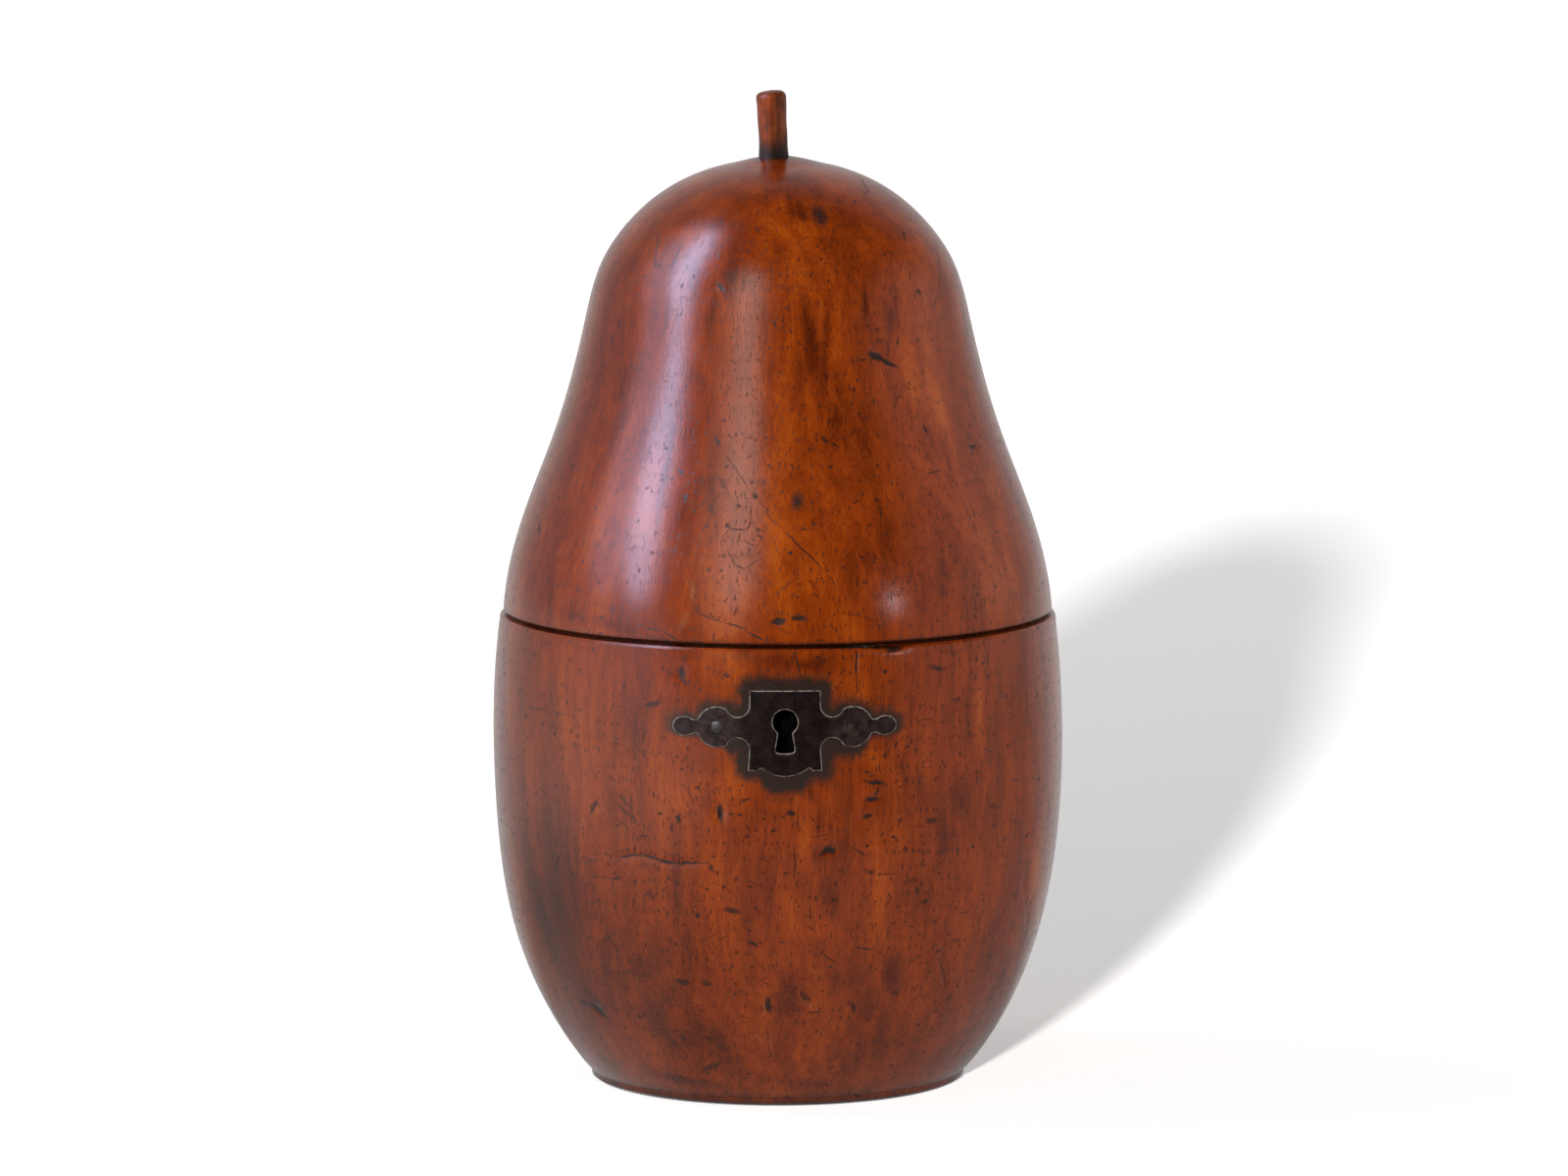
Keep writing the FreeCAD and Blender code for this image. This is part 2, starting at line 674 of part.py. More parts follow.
lid_leaf_parts = [
    box("lid_tab", (f"-{half_hinge}", lid_flange_y, lid_rim),
        ("hinge_width", f"{tab_reach} - {lid_flange_y}", "leaf_thickness")),
    box("lid_flange_plate", (f"-{half_hinge}", lid_flange_y, lid_rim),
        ("hinge_width", "leaf_thickness", "lid_flange")),
    knuckle("lid_knuckle", f"-{half_middle}", "middle_knuckle"),
    box("lid_neck", (f"-{half_middle}", f"{hinge_y} - knuckle_radius - leaf_thickness", lid_rim),
        ("middle_knuckle", "knuckle_radius + leaf_thickness", "leaf_thickness")),
]
lid_screw_spots = [
    (f"{step} * leaf_screw_spacing", lid_flange_y, f"{lid_rim} + lid_screw_rise") for step in (-1, 0, 1)
]
lid_screw_blanks = countersunk("screw", "lid_leaf_screw", lid_screw_spots, "+y", "leaf_screw_length")
lid_leaf_screws = cut("lid_leaf_screws", lid_screw_blanks,
                      slots("lid_leaf_screw", lid_screw_spots, "(-screw_slot_depth)"))
hinge_leaf_lid = cut("hinge_leaf_lid", fuse("lid_leaf_blank", *lid_leaf_parts),
                     pin_bore("lid_bore", "pin_play"), lid_screw_blanks)
hinge_pin = rod("hinge_pin", ("-hinge_pin_length / 2", hinge_y, hinge_z), "+x", "hinge_pin_radius",
                "hinge_pin_length")

# Room that the hinge and the lock take in the wood and the foil
leaf_room = f"(hinge_width + 2 * leaf_fit)"
leaf_left = f"(-{half_hinge} - leaf_fit)"
barrel_room = "(knuckle_radius + knuckle_gap)"
barrel_left = "(-hinge_pin_length / 2 - knuckle_gap)"
barrel_length = "(hinge_pin_length + 2 * knuckle_gap)"

# Bowl with its lip, turned hollow and then cut for the lock and the hinge
rim_inner = (lip_radius, "seam_height")
bowl_turned = turned("bowl_turned", [
    [("0", "0"), ("foot_radius", "0")],
    [("foot_radius", "0"), ("foot_radius", "foot_band")],
    bowl_curve("0"),
    [("rim_radius", "seam_height - rim_bevel"), ("rim_radius - rim_bevel", "seam_height")],
    [("rim_radius - rim_bevel", "seam_height"), rim_inner],
    [rim_inner, (lip_radius, lip_top)],
    [(lip_radius, lip_top), (bowl_bore, lip_top)],
    [(bowl_bore, lip_top), (bowl_bore, "seam_height")],
    bowl_hollow("0"),
    [("0", "bowl_floor"), ("0", "0")],
])
carve_box(bowl_turned, "case_mortise",
          ("-case_width / 2 - leaf_fit", f"{lock_front} - leaf_fit", f"{case_bottom} - leaf_fit"),
          ("case_width + 2 * leaf_fit", "2 * case_depth", "lock_plate_height + lip_height"))
carve_box(bowl_turned, "lock_plate_mortise",
          ("-lock_plate_width / 2 - leaf_fit", case_back, f"{plate_bottom} - leaf_fit"),
          ("lock_plate_width + 2 * leaf_fit", "bowl_wall + case_depth", "lock_plate_height + 2 * lip_height"))
carve_box(bowl_turned, "base_tab_mortise",
          (leaf_left, f"{base_flange_y} - bowl_wall", f"{base_tab_z} - leaf_fit"),
          (leaf_room, "2 * bowl_wall", "2 * lip_height + leaf_thickness"))
carve_box(bowl_turned, "base_flange_mortise",
          (leaf_left, f"{base_flange_y} - bowl_wall", "seam_height - base_flange - leaf_fit"),
          (leaf_room, "bowl_wall + leaf_thickness + leaf_fit", "base_flange + 2 * lip_height"))
carve_box(bowl_turned, "lip_hinge_gap",
          (f"-{half_hinge} - lip_clearance", f"{base_flange_y} - bowl_wall", "seam_height"),
          ("hinge_width + 2 * lip_clearance", "2 * bowl_wall", "2 * lip_height"))
carve_rod(bowl_turned, "base_barrel_notch", (barrel_left, hinge_y, hinge_z), "+x", barrel_room, barrel_length)
base_bowl = cut("base_bowl", bowl_turned, keyhole, plate_blank, escutcheon_pins,
                lock_screw_blanks, base_screw_blanks)

# Fruit stem, leaning a little and cut across at the top
stem_turned = doc.addObject("PartDesign::Body", "stem_turned")
stem_sections = []
for index, (rise, lean, radius) in enumerate((
    ("-stem_tenon", "0", "stem_tenon_radius"),
    ("0", "0", "stem_base_radius"),
    ("stem_length / 2", "stem_lean / 2", "stem_waist_radius"),
    ("stem_length + stem_top_radius", "stem_lean", "stem_top_radius"),
)):
    section = sketch_on(stem_turned, f"stem_section_{index}", "XY_Plane", f"{lid_top} + {rise}")
    middle = (f"stem_shift + {lean}", "0")
    ring = section.addGeometry(Part.Circle(point_at(middle), Vector(0, 0, 1), value_of(radius)), False)
    hold(section, ring, 3, middle)
    number = section.addConstraint(Sketcher.Constraint("Radius", ring, value_of(radius)))
    section.setExpression(f"Constraints[{number}]", sheet_text(radius))
    stem_sections.append(section)
loft = stem_turned.newObject("PartDesign::AdditiveLoft", "stem_loft")
loft.Profile = stem_sections[0]
loft.Sections = stem_sections[1:]
stem_cut = rod("stem_cut", ("stem_shift + stem_lean", "0", f"{lid_top} + stem_length"), "+z",
               "4 * stem_top_radius", "stem_length")
stem_cut.Placement.Rotation = Rotation(Vector(0, -1, 0), value_of("stem_cut_angle"))
bind(stem_cut, Placement__Rotation__Angle="stem_cut_angle")
stem = cut("stem", stem_turned, stem_cut)

# Lid, turned hollow with a rebate that drops over the bowl's lip
lid_turned = turned("lid_turned", [
    [(f"{lid_rim_radius} - rim_bevel", lid_rim), (lid_rim_radius, f"{lid_rim} + rim_bevel")],
    lid_curve(),
    [("0", lid_top), ("0", f"{lid_top} - crown_thickness")],
    lid_hollow("0"),
    [(lid_bore, rebate_top), (rebate_radius, rebate_top)],
    [(rebate_radius, rebate_top), (rebate_radius, lid_rim)],
    [(rebate_radius, lid_rim), (f"{lid_rim_radius} - rim_bevel", lid_rim)],
])
carve_box(lid_turned, "lid_tab_mortise",
          (leaf_left, f"{lid_flange_y} - lid_wall", f"{lid_rim} - leaf_thickness"),
          (leaf_room, "3 * lid_wall", "2 * leaf_thickness + leaf_fit"))
carve_box(lid_turned, "lid_flange_mortise",
          (leaf_left, f"{lid_flange_y} - lid_wall", f"{lid_rim} - leaf_thickness"),
          (leaf_room, "lid_wall + leaf_thickness + leaf_fit", "leaf_thickness + lid_flange + leaf_fit"))
carve_rod(lid_turned, "lid_barrel_notch", (barrel_left, hinge_y, hinge_z), "+x", barrel_room, barrel_length)
lid_dome = cut("lid_dome", lid_turned, stem, strike_blank, strike_nails, lid_screw_blanks)

# Foil linings, cut round the lock and the hinge
foil_back = "(foil_gap + foil_thickness)"


def lining(name, hollow):
    near = hollow("foil_gap")
    far = hollow(foil_back)[::-1]
    return turned(name, [near, [near[-1], far[0]], far, [far[-1], near[0]]])


base_foil_lining = cut(
    "base_foil_lining",
    lining("bowl_foil", bowl_hollow),
    box("foil_lock_gap", ("-lock_plate_width / 2 - foil_thickness", f"-{outside}", f"{plate_bottom} - foil_thickness"),
        ("lock_plate_width + 2 * foil_thickness", outside, "lock_plate_height + foil_thickness")),
    box("foil_hinge_gap", (f"-{half_hinge} - foil_thickness", "0", "seam_height - base_flange - foil_thickness"),
        ("hinge_width + 2 * foil_thickness", outside, "base_flange + foil_thickness")),
)
lid_foil_lining = cut(
    "lid_foil_lining",
    lining("lid_foil", lid_hollow),
    box("lid_foil_hinge_gap", (f"-{half_hinge} - foil_thickness", "0", lid_rim),
        ("hinge_width + 2 * foil_thickness", outside, "lid_flange + foil_thickness")),
    box("lid_foil_strike_gap", ("-strike_length / 2 - foil_thickness", f"-{outside}", lid_rim),
        ("strike_length + 2 * foil_thickness", outside, f"{strike_top} - {lid_rim} + foil_thickness")),
    strike_nails,
)

pieces = [
    base_bowl, base_foil_lining, escutcheon_plate, escutcheon_pins, lock_plate, lock_case, key_wards,
    lock_rivets, bolt_stump, bolt_spring, lock_screws, hinge_leaf_base, hinge_pin, base_leaf_screws,
    lid_dome, stem, lid_foil_lining, hinge_leaf_lid, lid_leaf_screws, strike_plate, lock_staple,
    strike_nails, lock_bolt,
]
doc.recompute()

for thing in doc.Objects:
    if "Invalid" in thing.State or "Error" in thing.State:
        raise RuntimeError(f"{thing.Label} did not build: {thing.State}")

os.makedirs("parts", exist_ok=True)
for piece in pieces:
    if piece.Shape.isNull() or not piece.Shape.isValid():
        raise RuntimeError(f"{piece.Label} has no sound shape")
    piece.Shape.exportStep(f"parts/{piece.Label}.step")
    print(piece.Label, len(piece.Shape.Solids), round(piece.Shape.Volume, 1))
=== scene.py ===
import bmesh
import bpy
import numpy as np
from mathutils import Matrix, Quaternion, Vector


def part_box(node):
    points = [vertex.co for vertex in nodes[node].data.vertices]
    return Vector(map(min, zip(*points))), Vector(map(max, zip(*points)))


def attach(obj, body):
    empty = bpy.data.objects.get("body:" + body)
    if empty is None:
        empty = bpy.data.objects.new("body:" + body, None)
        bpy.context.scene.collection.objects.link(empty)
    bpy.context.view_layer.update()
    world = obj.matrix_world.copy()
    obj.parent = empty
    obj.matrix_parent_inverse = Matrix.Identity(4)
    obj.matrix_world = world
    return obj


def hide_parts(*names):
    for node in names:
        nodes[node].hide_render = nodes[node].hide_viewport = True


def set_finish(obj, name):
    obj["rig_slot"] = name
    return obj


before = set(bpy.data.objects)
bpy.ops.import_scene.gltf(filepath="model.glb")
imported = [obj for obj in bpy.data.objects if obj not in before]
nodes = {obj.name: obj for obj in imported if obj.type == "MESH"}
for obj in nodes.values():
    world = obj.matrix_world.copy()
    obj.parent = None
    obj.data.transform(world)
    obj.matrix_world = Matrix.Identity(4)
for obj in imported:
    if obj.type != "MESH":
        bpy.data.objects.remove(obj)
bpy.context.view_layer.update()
scene = bpy.context.scene
mm = 0.001
print("frame loaded", len(nodes))


# Shared shape tools, all in millimetres until a mesh is made
def clampedSpline(poles, count):
    # cubic B-spline with clamped ends and even knots, then spaced evenly along its length
    poles = np.asarray(poles, float)
    spans = len(poles) - 3
    knots = np.concatenate([np.zeros(3), np.linspace(0, 1, spans + 1), np.ones(3)])
    t = np.linspace(0, 1, 40 * count)[:, None]
    basis = ((t >= knots[:-1]) & (t < knots[1:])).astype(float)
    basis[-1, len(poles) - 1] = 1
    for degree in (1, 2, 3):
        n = len(knots) - degree - 1
        rise = knots[degree:degree + n] - knots[:n]
        fall = knots[degree + 1:degree + 1 + n] - knots[1:n + 1]
        up = np.where(rise > 0, (t - knots[:n]) / np.where(rise > 0, rise, 1), 0)
        down = np.where(fall > 0, (knots[degree + 1:degree + 1 + n] - t) / np.where(fall > 0, fall, 1), 0)
        basis = up * basis[:, :n] + down * basis[:, 1:n + 1]
    points = basis @ poles
    run = np.concatenate([[0], np.cumsum(np.hypot(*np.diff(points, axis=0).T))])
    even = np.linspace(0, run[-1], count)
    return np.stack([np.interp(even, run, points[:, 0]), np.interp(even, run, points[:, 1])], 1)


def joinRuns(*runs):
    # runs share their end points, so each after the first leaves its own start out
    return np.concatenate([runs[0]] + [run[1:] for run in runs[1:]])


def cornered(points, counts):
    # straight runs from corner to corner, each with its own number of points
    runs = zip(points, points[1:], counts)
    return joinRuns(*[np.linspace(start, end, count) for start, end, count in runs])


def makeObject(name, points, quads, tris=np.zeros((0, 3), int)):
    mesh = bpy.data.meshes.new(name)
    mesh.vertices.add(len(points))
    mesh.vertices.foreach_set("co", (np.asarray(points, float) * mm).astype(np.float32).ravel())
    loops = np.concatenate([np.asarray(quads).ravel(), np.asarray(tris).ravel()]).astype(np.int32)
    lengths = np.concatenate([np.full(len(quads), 4), np.full(len(tris), 3)]).astype(np.int32)
    mesh.loops.add(len(loops))
    mesh.loops.foreach_set("vertex_index", loops)
    mesh.polygons.add(len(lengths))
    mesh.polygons.foreach_set("loop_start", np.concatenate([[0], np.cumsum(lengths)[:-1]]).astype(np.int32))
    mesh.update(calc_edges=True)
    thing = bpy.data.objects.new(name, mesh)
    scene.collection.objects.link(thing)
    return thing


def ringFaces(rows, columns):
    # quads between neighbouring rings, and fans to the two end points that follow the rings
    ids = np.arange(rows * columns).reshape(rows, columns)
    after = np.roll(ids, -1, 1)
    quads = np.stack([ids[:-1], after[:-1], after[1:], ids[1:]], -1).reshape(-1, 4)
    low = np.full(columns, rows * columns)
    fans = [np.stack([low, after[0], ids[0]], -1), np.stack([ids[-1], after[-1], low + 1], -1)]
    return quads, np.concatenate(fans)


def turned(name, profile, angles, move):
    # point = (radius * sin angle, -radius * cos angle, height); both ends of the profile lie on the axis
    radius, height = profile[1:-1].T
    slope = np.gradient(profile, axis=0)[1:-1]
    slope /= np.maximum(np.hypot(*slope.T), 1e-9)[:, None]
    a, r = np.meshgrid(angles, radius)
    z = np.repeat(height[:, None], len(angles), 1)
    out = move(a, z, np.arange(1, len(profile) - 1)[:, None])
    r, z = r + slope[:, 1:] * out, z - slope[:, :1] * out
    points = np.stack([r * np.sin(a), -r * np.cos(a), z], -1).reshape(-1, 3)
    points = np.concatenate([points, [[0, 0, profile[0, 1]], [0, 0, profile[-1, 1]]]])
    return makeObject(name, points, *ringFaces(*r.shape))


def spreadAngles(front, back):
    # more columns in the half that faces the front
    edge = np.radians(100)
    facing = np.linspace(-edge, edge, front, False)
    return np.concatenate([facing, np.linspace(edge, 2 * np.pi - edge, back, False)])


def block(name, low, high):
    x, y, z = np.stack([low, high], 1).astype(float)
    points = np.array([[i, j, k] for k in z for j in y for i in x])
    quads = [[0, 2, 3, 1], [4, 5, 7, 6], [0, 1, 5, 4], [2, 6, 7, 3], [0, 4, 6, 2], [1, 3, 7, 5]]
    return makeObject(name, points, quads)


def crossRod(name, left, right, y, z, radius, count=40):
    # a rod along X
    a = np.linspace(0, 2 * np.pi, count, False)
    ring = np.stack([y + radius * np.cos(a), z + radius * np.sin(a)], 1)
    rings = [np.insert(ring, 0, x, 1) for x in (left, right)]
    points = np.concatenate(rings + [[[left, y, z], [right, y, z]]])
    return makeObject(name, points, *ringFaces(2, count))


def settled(thing):
    # applies the modifiers and keeps the plain mesh
    bpy.context.view_layer.update()
    shaped = bpy.data.meshes.new_from_object(thing.evaluated_get(bpy.context.evaluated_depsgraph_get()))
    thing.modifiers.clear()
    thing.data = shaped
    return thing


def drop(*things):
    for thing in things:
        bpy.data.objects.remove(thing)


def carve(thing, cutters):
    for cutter in cutters:
        step = thing.modifiers.new("cut", "BOOLEAN")
        step.operation, step.solver, step.object = "DIFFERENCE", "MANIFOLD", cutter
    settled(thing)
    drop(*cutters)
    return thing


def smooth(thing, angle=35):
    thing.data.shade_smooth()
    thing.data.set_sharp_from_angle(angle=np.radians(angle))
    return thing


def readPoints(thing):
    co = np.zeros(len(thing.data.vertices) * 3, np.float32)
    thing.data.vertices.foreach_get("co", co)
    return co.reshape(-1, 3).astype(float) / mm


def writePoints(thing, points):
    thing.data.vertices.foreach_set("co", (points * mm).astype(np.float32).ravel())
    thing.data.update()


def setValue(thing, name, values):
    layer = thing.data.attributes.new(name, "FLOAT", "POINT")
    layer.data.foreach_set("value", np.asarray(values, np.float32))


def corners(node):
    low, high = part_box(node)
    return np.array(low) / mm, np.array(high) / mm


def place(thing, body, slotName, *replaced):
    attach(thing, body)
    if replaced:
        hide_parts(*replaced)
    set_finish(thing, slotName)
    return thing


# Curves of the turned wood, from the CAD source's own poles
seamHeight, lidRim = 80.0, 80.5
# places along the arc are measured at this radius
arcRadius = 45.0
bowlPoles = [(31.9, 1.3), (35.7, 5.0), (45.4, 20.7), (49.0, 49.7), (48.6, 70.0), (47.4, 79.6)]
bowlHollowPoles = [(40.4, 80.0), (41.6, 70.0), (42.0, 49.7), (38.4, 20.7), (28.7, 8.0), (0, 8.0)]
lidPoles = [
    (46.8, 80.9), (45.9, 92.4), (36.9, 111.4), (32.2, 133.0), (29.5, 144.7), (14.1, 157.4), (0, 157.4),
]
lidHollowPoles = [(0, 147.4), (23.0, 147.4), (25.7, 133.0), (30.4, 111.4), (39.4, 92.4), (40.3, 83.0)]
bowlOutside = clampedSpline(bowlPoles, 150)


def bowlRadius(z):
    return np.interp(z, bowlOutside[:, 1], bowlOutside[:, 0])


def softStep(low, high, value):
    t = np.clip((value - low) / (high - low), 0, 1)
    return t * t * (3 - 2 * t)


def between(value, start, full, fade, end):
    # rises from nought to one, stays there and falls to nought again
    return softStep(start, full, value) * (1 - softStep(fade, end, value))


def wave(a, z, rows):
    # sum of cosine products, one row each: turns round, waves per mm of height, two phases, size
    return sum(size * np.cos(turns * a + p) * np.cos(rate * z + q) for turns, rate, p, q, size in rows)


def hollows(a, z, rows):
    # round-bottomed dents: middle along the arc and in height, half width, half height, tilt, depth
    u = ((a + np.pi) % (2 * np.pi) - np.pi) * arcRadius
    depth = np.zeros_like(u)
    for middle, height, wide, tall, tilt, deep in rows:
        c, s = np.cos(np.radians(tilt)), np.sin(np.radians(tilt))
        p, q = (u - middle) * c + (z - height) * s, (z - height) * c - (u - middle) * s
        depth = np.maximum(depth, deep * np.exp(-1.6 * ((p / wide) ** 2 + (q / tall) ** 2)))
    return depth


# Escutcheon: the outline in the plate's own plane, across and up
plateLook = {
    "keyZ": 67.95, "lobeZ": 67.0, "top": 73.2, "bottom": 59.75, "half": 5.95,
    "apron": 5.9, "apronZ": 64.7, "scallopX": 4.0, "scallop": 0.45,
    "lobeX": 11.3, "lobe": 3.43, "notchX": 7.9, "notchRise": 3.7, "notch": 1.95,
    "waist": 1.15, "finialX": 16.75, "finialLong": 1.95, "finialTall": 1.65,
    "keyRound": 2.12, "keyNeck": 1.15, "keyFoot": 1.65, "keyDrop": 5.1,
    "sunk": 0.55, "proud": 0.25, "bevel": 0.16, "wear": 0.3, "seat": 0.02, "cell": 0.8, "ripple": 0.035,
    "keyDeep": 9.0, "keyFit": 0.1, "keyCell": 3.0, "above": 3.0, "recessCell": 1.2,
}


def arc(middle, radius, start, stop, count=24, tall=None):
    a = np.radians(np.linspace(start, stop, count))
    return np.stack([middle[0] + radius * np.cos(a), middle[1] + (tall or radius) * np.sin(a)], 1)


def worn(outline, spacing, reach):
    # evenly spaced points, each moved to the mean of its neighbours so that corners are rounded
    closed = np.concatenate([outline, outline[:1]])
    run = np.concatenate([[0], np.cumsum(np.hypot(*np.diff(closed, axis=0).T))])
    even = np.linspace(0, run[-1], int(run[-1] / spacing), False)
    points = np.stack([np.interp(even, run, closed[:, k]) for k in (0, 1)], 1)
    steps = int(reach / spacing)
    return np.mean([np.roll(points, k, 0) for k in range(-steps, steps + 1)], 0)


def plateOutline(look):
    mid = look["lobeZ"]
    meet = 117  # where the notch runs into the lobe
    dip = np.degrees(np.arcsin(look["waist"] / look["lobe"]))
    tip = np.degrees(np.arcsin(look["waist"] / look["finialTall"]))
    lobe, notchTop = (look["lobeX"], mid), (look["notchX"], mid + look["notchRise"])
    notchLow = (look["notchX"], mid - look["notchRise"])
    apronEdge = np.degrees(np.arcsin((look["apronZ"] - look["bottom"]) / look["apron"]))
    right = np.concatenate([
        [(0, look["top"]), (look["half"], look["top"])],
        arc(notchTop, look["notch"], 180, 341),
        arc(lobe, look["lobe"], meet, dip),
        arc((look["finialX"], mid), look["finialLong"], 180 - tip, tip - 180, 40, look["finialTall"]),
        arc(lobe, look["lobe"], -dip, -meet),
        arc(notchLow, look["notch"], 19, 180),
        [(look["half"] + 0.25, look["bottom"])],
        arc((look["scallopX"], look["bottom"]), look["scallop"], 0, 180, 10),
        arc((0, look["apronZ"]), look["apron"], -apronEdge, -90, 16),
    ])
    left = right[::-1][1:-1] * (-1, 1)
    return worn(np.concatenate([right, left]), 0.1, look["wear"])


def keyOutline(look, grow=0.0):
    ring, neck = look["keyRound"] + grow, look["keyNeck"] + grow
    turn = np.degrees(np.arcsin(neck / ring))
    foot = look["keyZ"] - look["keyDrop"] - grow
    right = np.concatenate([
        arc((0, look["keyZ"]), ring, 90, turn - 90, 30),
        [(look["keyFoot"] + grow, foot + 0.25), (look["keyFoot"] + grow - 0.3, foot - 0.05), (0, foot - 0.2)],
    ])
    left = right[::-1][1:-1] * (-1, 1)
    return worn(np.concatenate([right, left]), 0.1, 0.2)


def bentSheet(name, outlines, low, high, bevel, cell):
    # a flat sheet filled between its outlines, cut into small cells, then laid along the bowl:
    # y = -sqrt((bowl radius at that height + height above the wood) squared - x squared)
    shape = bpy.data.curves.new(name + "Flat", "CURVE")
    shape.dimensions, shape.fill_mode = "2D", "BOTH"
    for outline in outlines:
        run = shape.splines.new("POLY")
        run.points.add(len(outline) - 1)
        run.points.foreach_set("co", np.insert(np.insert(outline, 2, 0, 1), 3, 1, 1).ravel())
        run.use_cyclic_u = True
    shape.extrude = (high - low) / 2 - bevel
    shape.bevel_depth, shape.bevel_resolution, shape.offset = bevel, 2, -bevel
    flat = bpy.data.objects.new(name + "Flat", shape)
    scene.collection.objects.link(flat)
    bpy.context.view_layer.update()
    mesh = bpy.data.meshes.new_from_object(flat.evaluated_get(bpy.context.evaluated_depsgraph_get()))
    drop(flat)
    work = bmesh.new()
    work.from_mesh(mesh)
    bmesh.ops.remove_doubles(work, verts=work.verts, dist=1e-4)
    spanX, spanY = np.abs(outlines[0][:, 0]).max(), outlines[0][:, 1]
    cuts = [((x, 0, 0), (1, 0, 0)) for x in np.arange(-spanX + cell / 2, spanX, cell)]
    cuts += [((0, y, 0), (0, 1, 0)) for y in np.arange(spanY.min() + cell / 2, spanY.max(), cell)]
    for spot, way in cuts:
        parts = work.verts[:] + work.edges[:] + work.faces[:]
        bmesh.ops.bisect_plane(work, geom=parts, plane_co=spot, plane_no=way, dist=1e-5)
    bmesh.ops.triangulate(work, faces=[f for f in work.faces if len(f.verts) > 4])
    bmesh.ops.recalc_face_normals(work, faces=work.faces)
    work.to_mesh(mesh)
    work.free()
    thing = bpy.data.objects.new(name, mesh)
    scene.collection.objects.link(thing)
    flatPoints = readPoints(thing) * mm
    rise = flatPoints[:, 2] + (high + low) / 2
    reach = bowlRadius(flatPoints[:, 1]) + rise
    depth = -np.sqrt(np.maximum(reach ** 2 - flatPoints[:, 0] ** 2, 0))
    writePoints(thing, np.stack([flatPoints[:, 0], depth, flatPoints[:, 1]], 1))
    return thing, rise


plateEdge, keyEdge = plateOutline(plateLook), keyOutline(plateLook)


def edgeDistance(x, z, outline):
    # distance from points to the nearest stretch of a closed outline, nought inside it
    start, end = outline, np.roll(outline, -1, 0)
    run = end - start
    p = np.stack([x, z], 1)[:, None] - start
    t = np.clip((p * run).sum(-1) / (run * run).sum(-1), 0, 1)
    gap = np.hypot(*(p - t[..., None] * run).transpose(2, 0, 1)).min(1)
    side = (start[:, 1] > z[:, None]) != (end[:, 1] > z[:, None])
    climb = np.where(run[:, 1] == 0, 1e-9, run[:, 1])
    crossing = start[:, 0] + (z[:, None] - start[:, 1]) * run[:, 0] / climb
    inside = ((side & (x[:, None] < crossing)).sum(1) % 2) == 1
    return np.where(inside, 0, gap)


# Bowl: slow waves in the turning, dents, a chip in the rim and a scatter of small dents at the right
bowlLook = {
    "front": 250, "back": 100, "innerRows": 36, "fit": 0.05, "calm": (0, 6, 76, 80),
    "reach": 9.0, "grimeAndShadeArea": (-30, 32, 48),
    "foot": [(0, 0), (31.2, 0), (31.9, 0.5), (31.9, 1.3)], "footCounts": (8, 3, 3),
    "rim": [(47.4, 79.6), (47.0, 80.0), (43.1, 80.0), (43.1, 82.4), (42.9, 82.6), (40.4, 82.6), (40.4, 80.0)],
    "rimCounts": (3, 4, 4, 2, 3, 3),
    "waves": [
        (2, 0.05, 0.4, 1.0, 0.10), (3, 0.11, 2.0, 0.3, 0.06),
        (5, 0.16, 1.1, 2.2, 0.035), (9, 0.3, 0.2, 1.4, 0.012),
    ],
    "dents": [
        (-10.2, 52.4, 0.8, 1.6, 5, 0.60), (-25.7, 44.2, 2.6, 0.45, 11, 0.25),
        (-22.0, 44.3, 2.2, 0.45, -11, 0.25), (-19.1, 43.7, 2.0, 0.45, -10, 0.25),
        (-15.7, 43.7, 2.6, 0.45, 5, 0.25), (7.0, 46.1, 1.2, 0.9, 0, 0.35),
        (-16.5, 75.6, 1.0, 1.4, 0, 0.15), (-38.3, 15.6, 1.8, 1.1, -33, 0.30),
        (-2.7, 19.2, 0.8, 1.7, 8, 0.30), (3.7, 20.6, 1.0, 0.7, -40, 0.25),
        (-8.4, 35.8, 1.5, 0.8, -12, 0.18), (12.7, 18.3, 0.7, 1.1, 20, 0.20),
        (29.8, 23.0, 0.6, 3.2, 30, 0.20), (14.0, 54.6, 1.2, 0.8, 0, 0.20),
        (-31.8, 52.0, 0.6, 1.8, -28, 0.15),
    ],
    "chip": (17.2, 80.0, 4.2, 0.6, 0, 0.45),
    "seed": 7, "scatter": 90,
    "scatterRanges": [(8, 52), (6, 52), (0.5, 1.3), (0.6, 2.2), (-25, 25), (0.03, 0.12)],
}
dentPick = np.random.default_rng(bowlLook["seed"])
scatterDents = np.stack(
    [dentPick.uniform(least, most, bowlLook["scatter"]) for least, most in bowlLook["scatterRanges"]], 1)
footRun = cornered(bowlLook["foot"], bowlLook["footCounts"])
rimRun = cornered(bowlLook["rim"], bowlLook["rimCounts"])
bowlProfile = joinRuns(footRun, bowlOutside, rimRun, clampedSpline(bowlHollowPoles, bowlLook["innerRows"]))
bowlFirst, bowlLast = len(footRun) - 1, len(footRun) + len(bowlOutside) - 2


def bowlMove(a, z, row):
    # waves less dents on the outer rows; the chip also takes rows of the rim
    outer = (row >= bowlFirst - 2) & (row <= bowlLast + 1)
    dents = hollows(a, z, bowlLook["dents"]) + hollows(a, z, scatterDents)
    chip = hollows(a, z, [bowlLook["chip"]]) * (row >= bowlFirst)
    moved = wave(a, z, bowlLook["waves"]) * between(z, *bowlLook["calm"]) - dents
    return np.where(outer, moved, 0) - np.where(row <= bowlLast + 3, chip, 0)


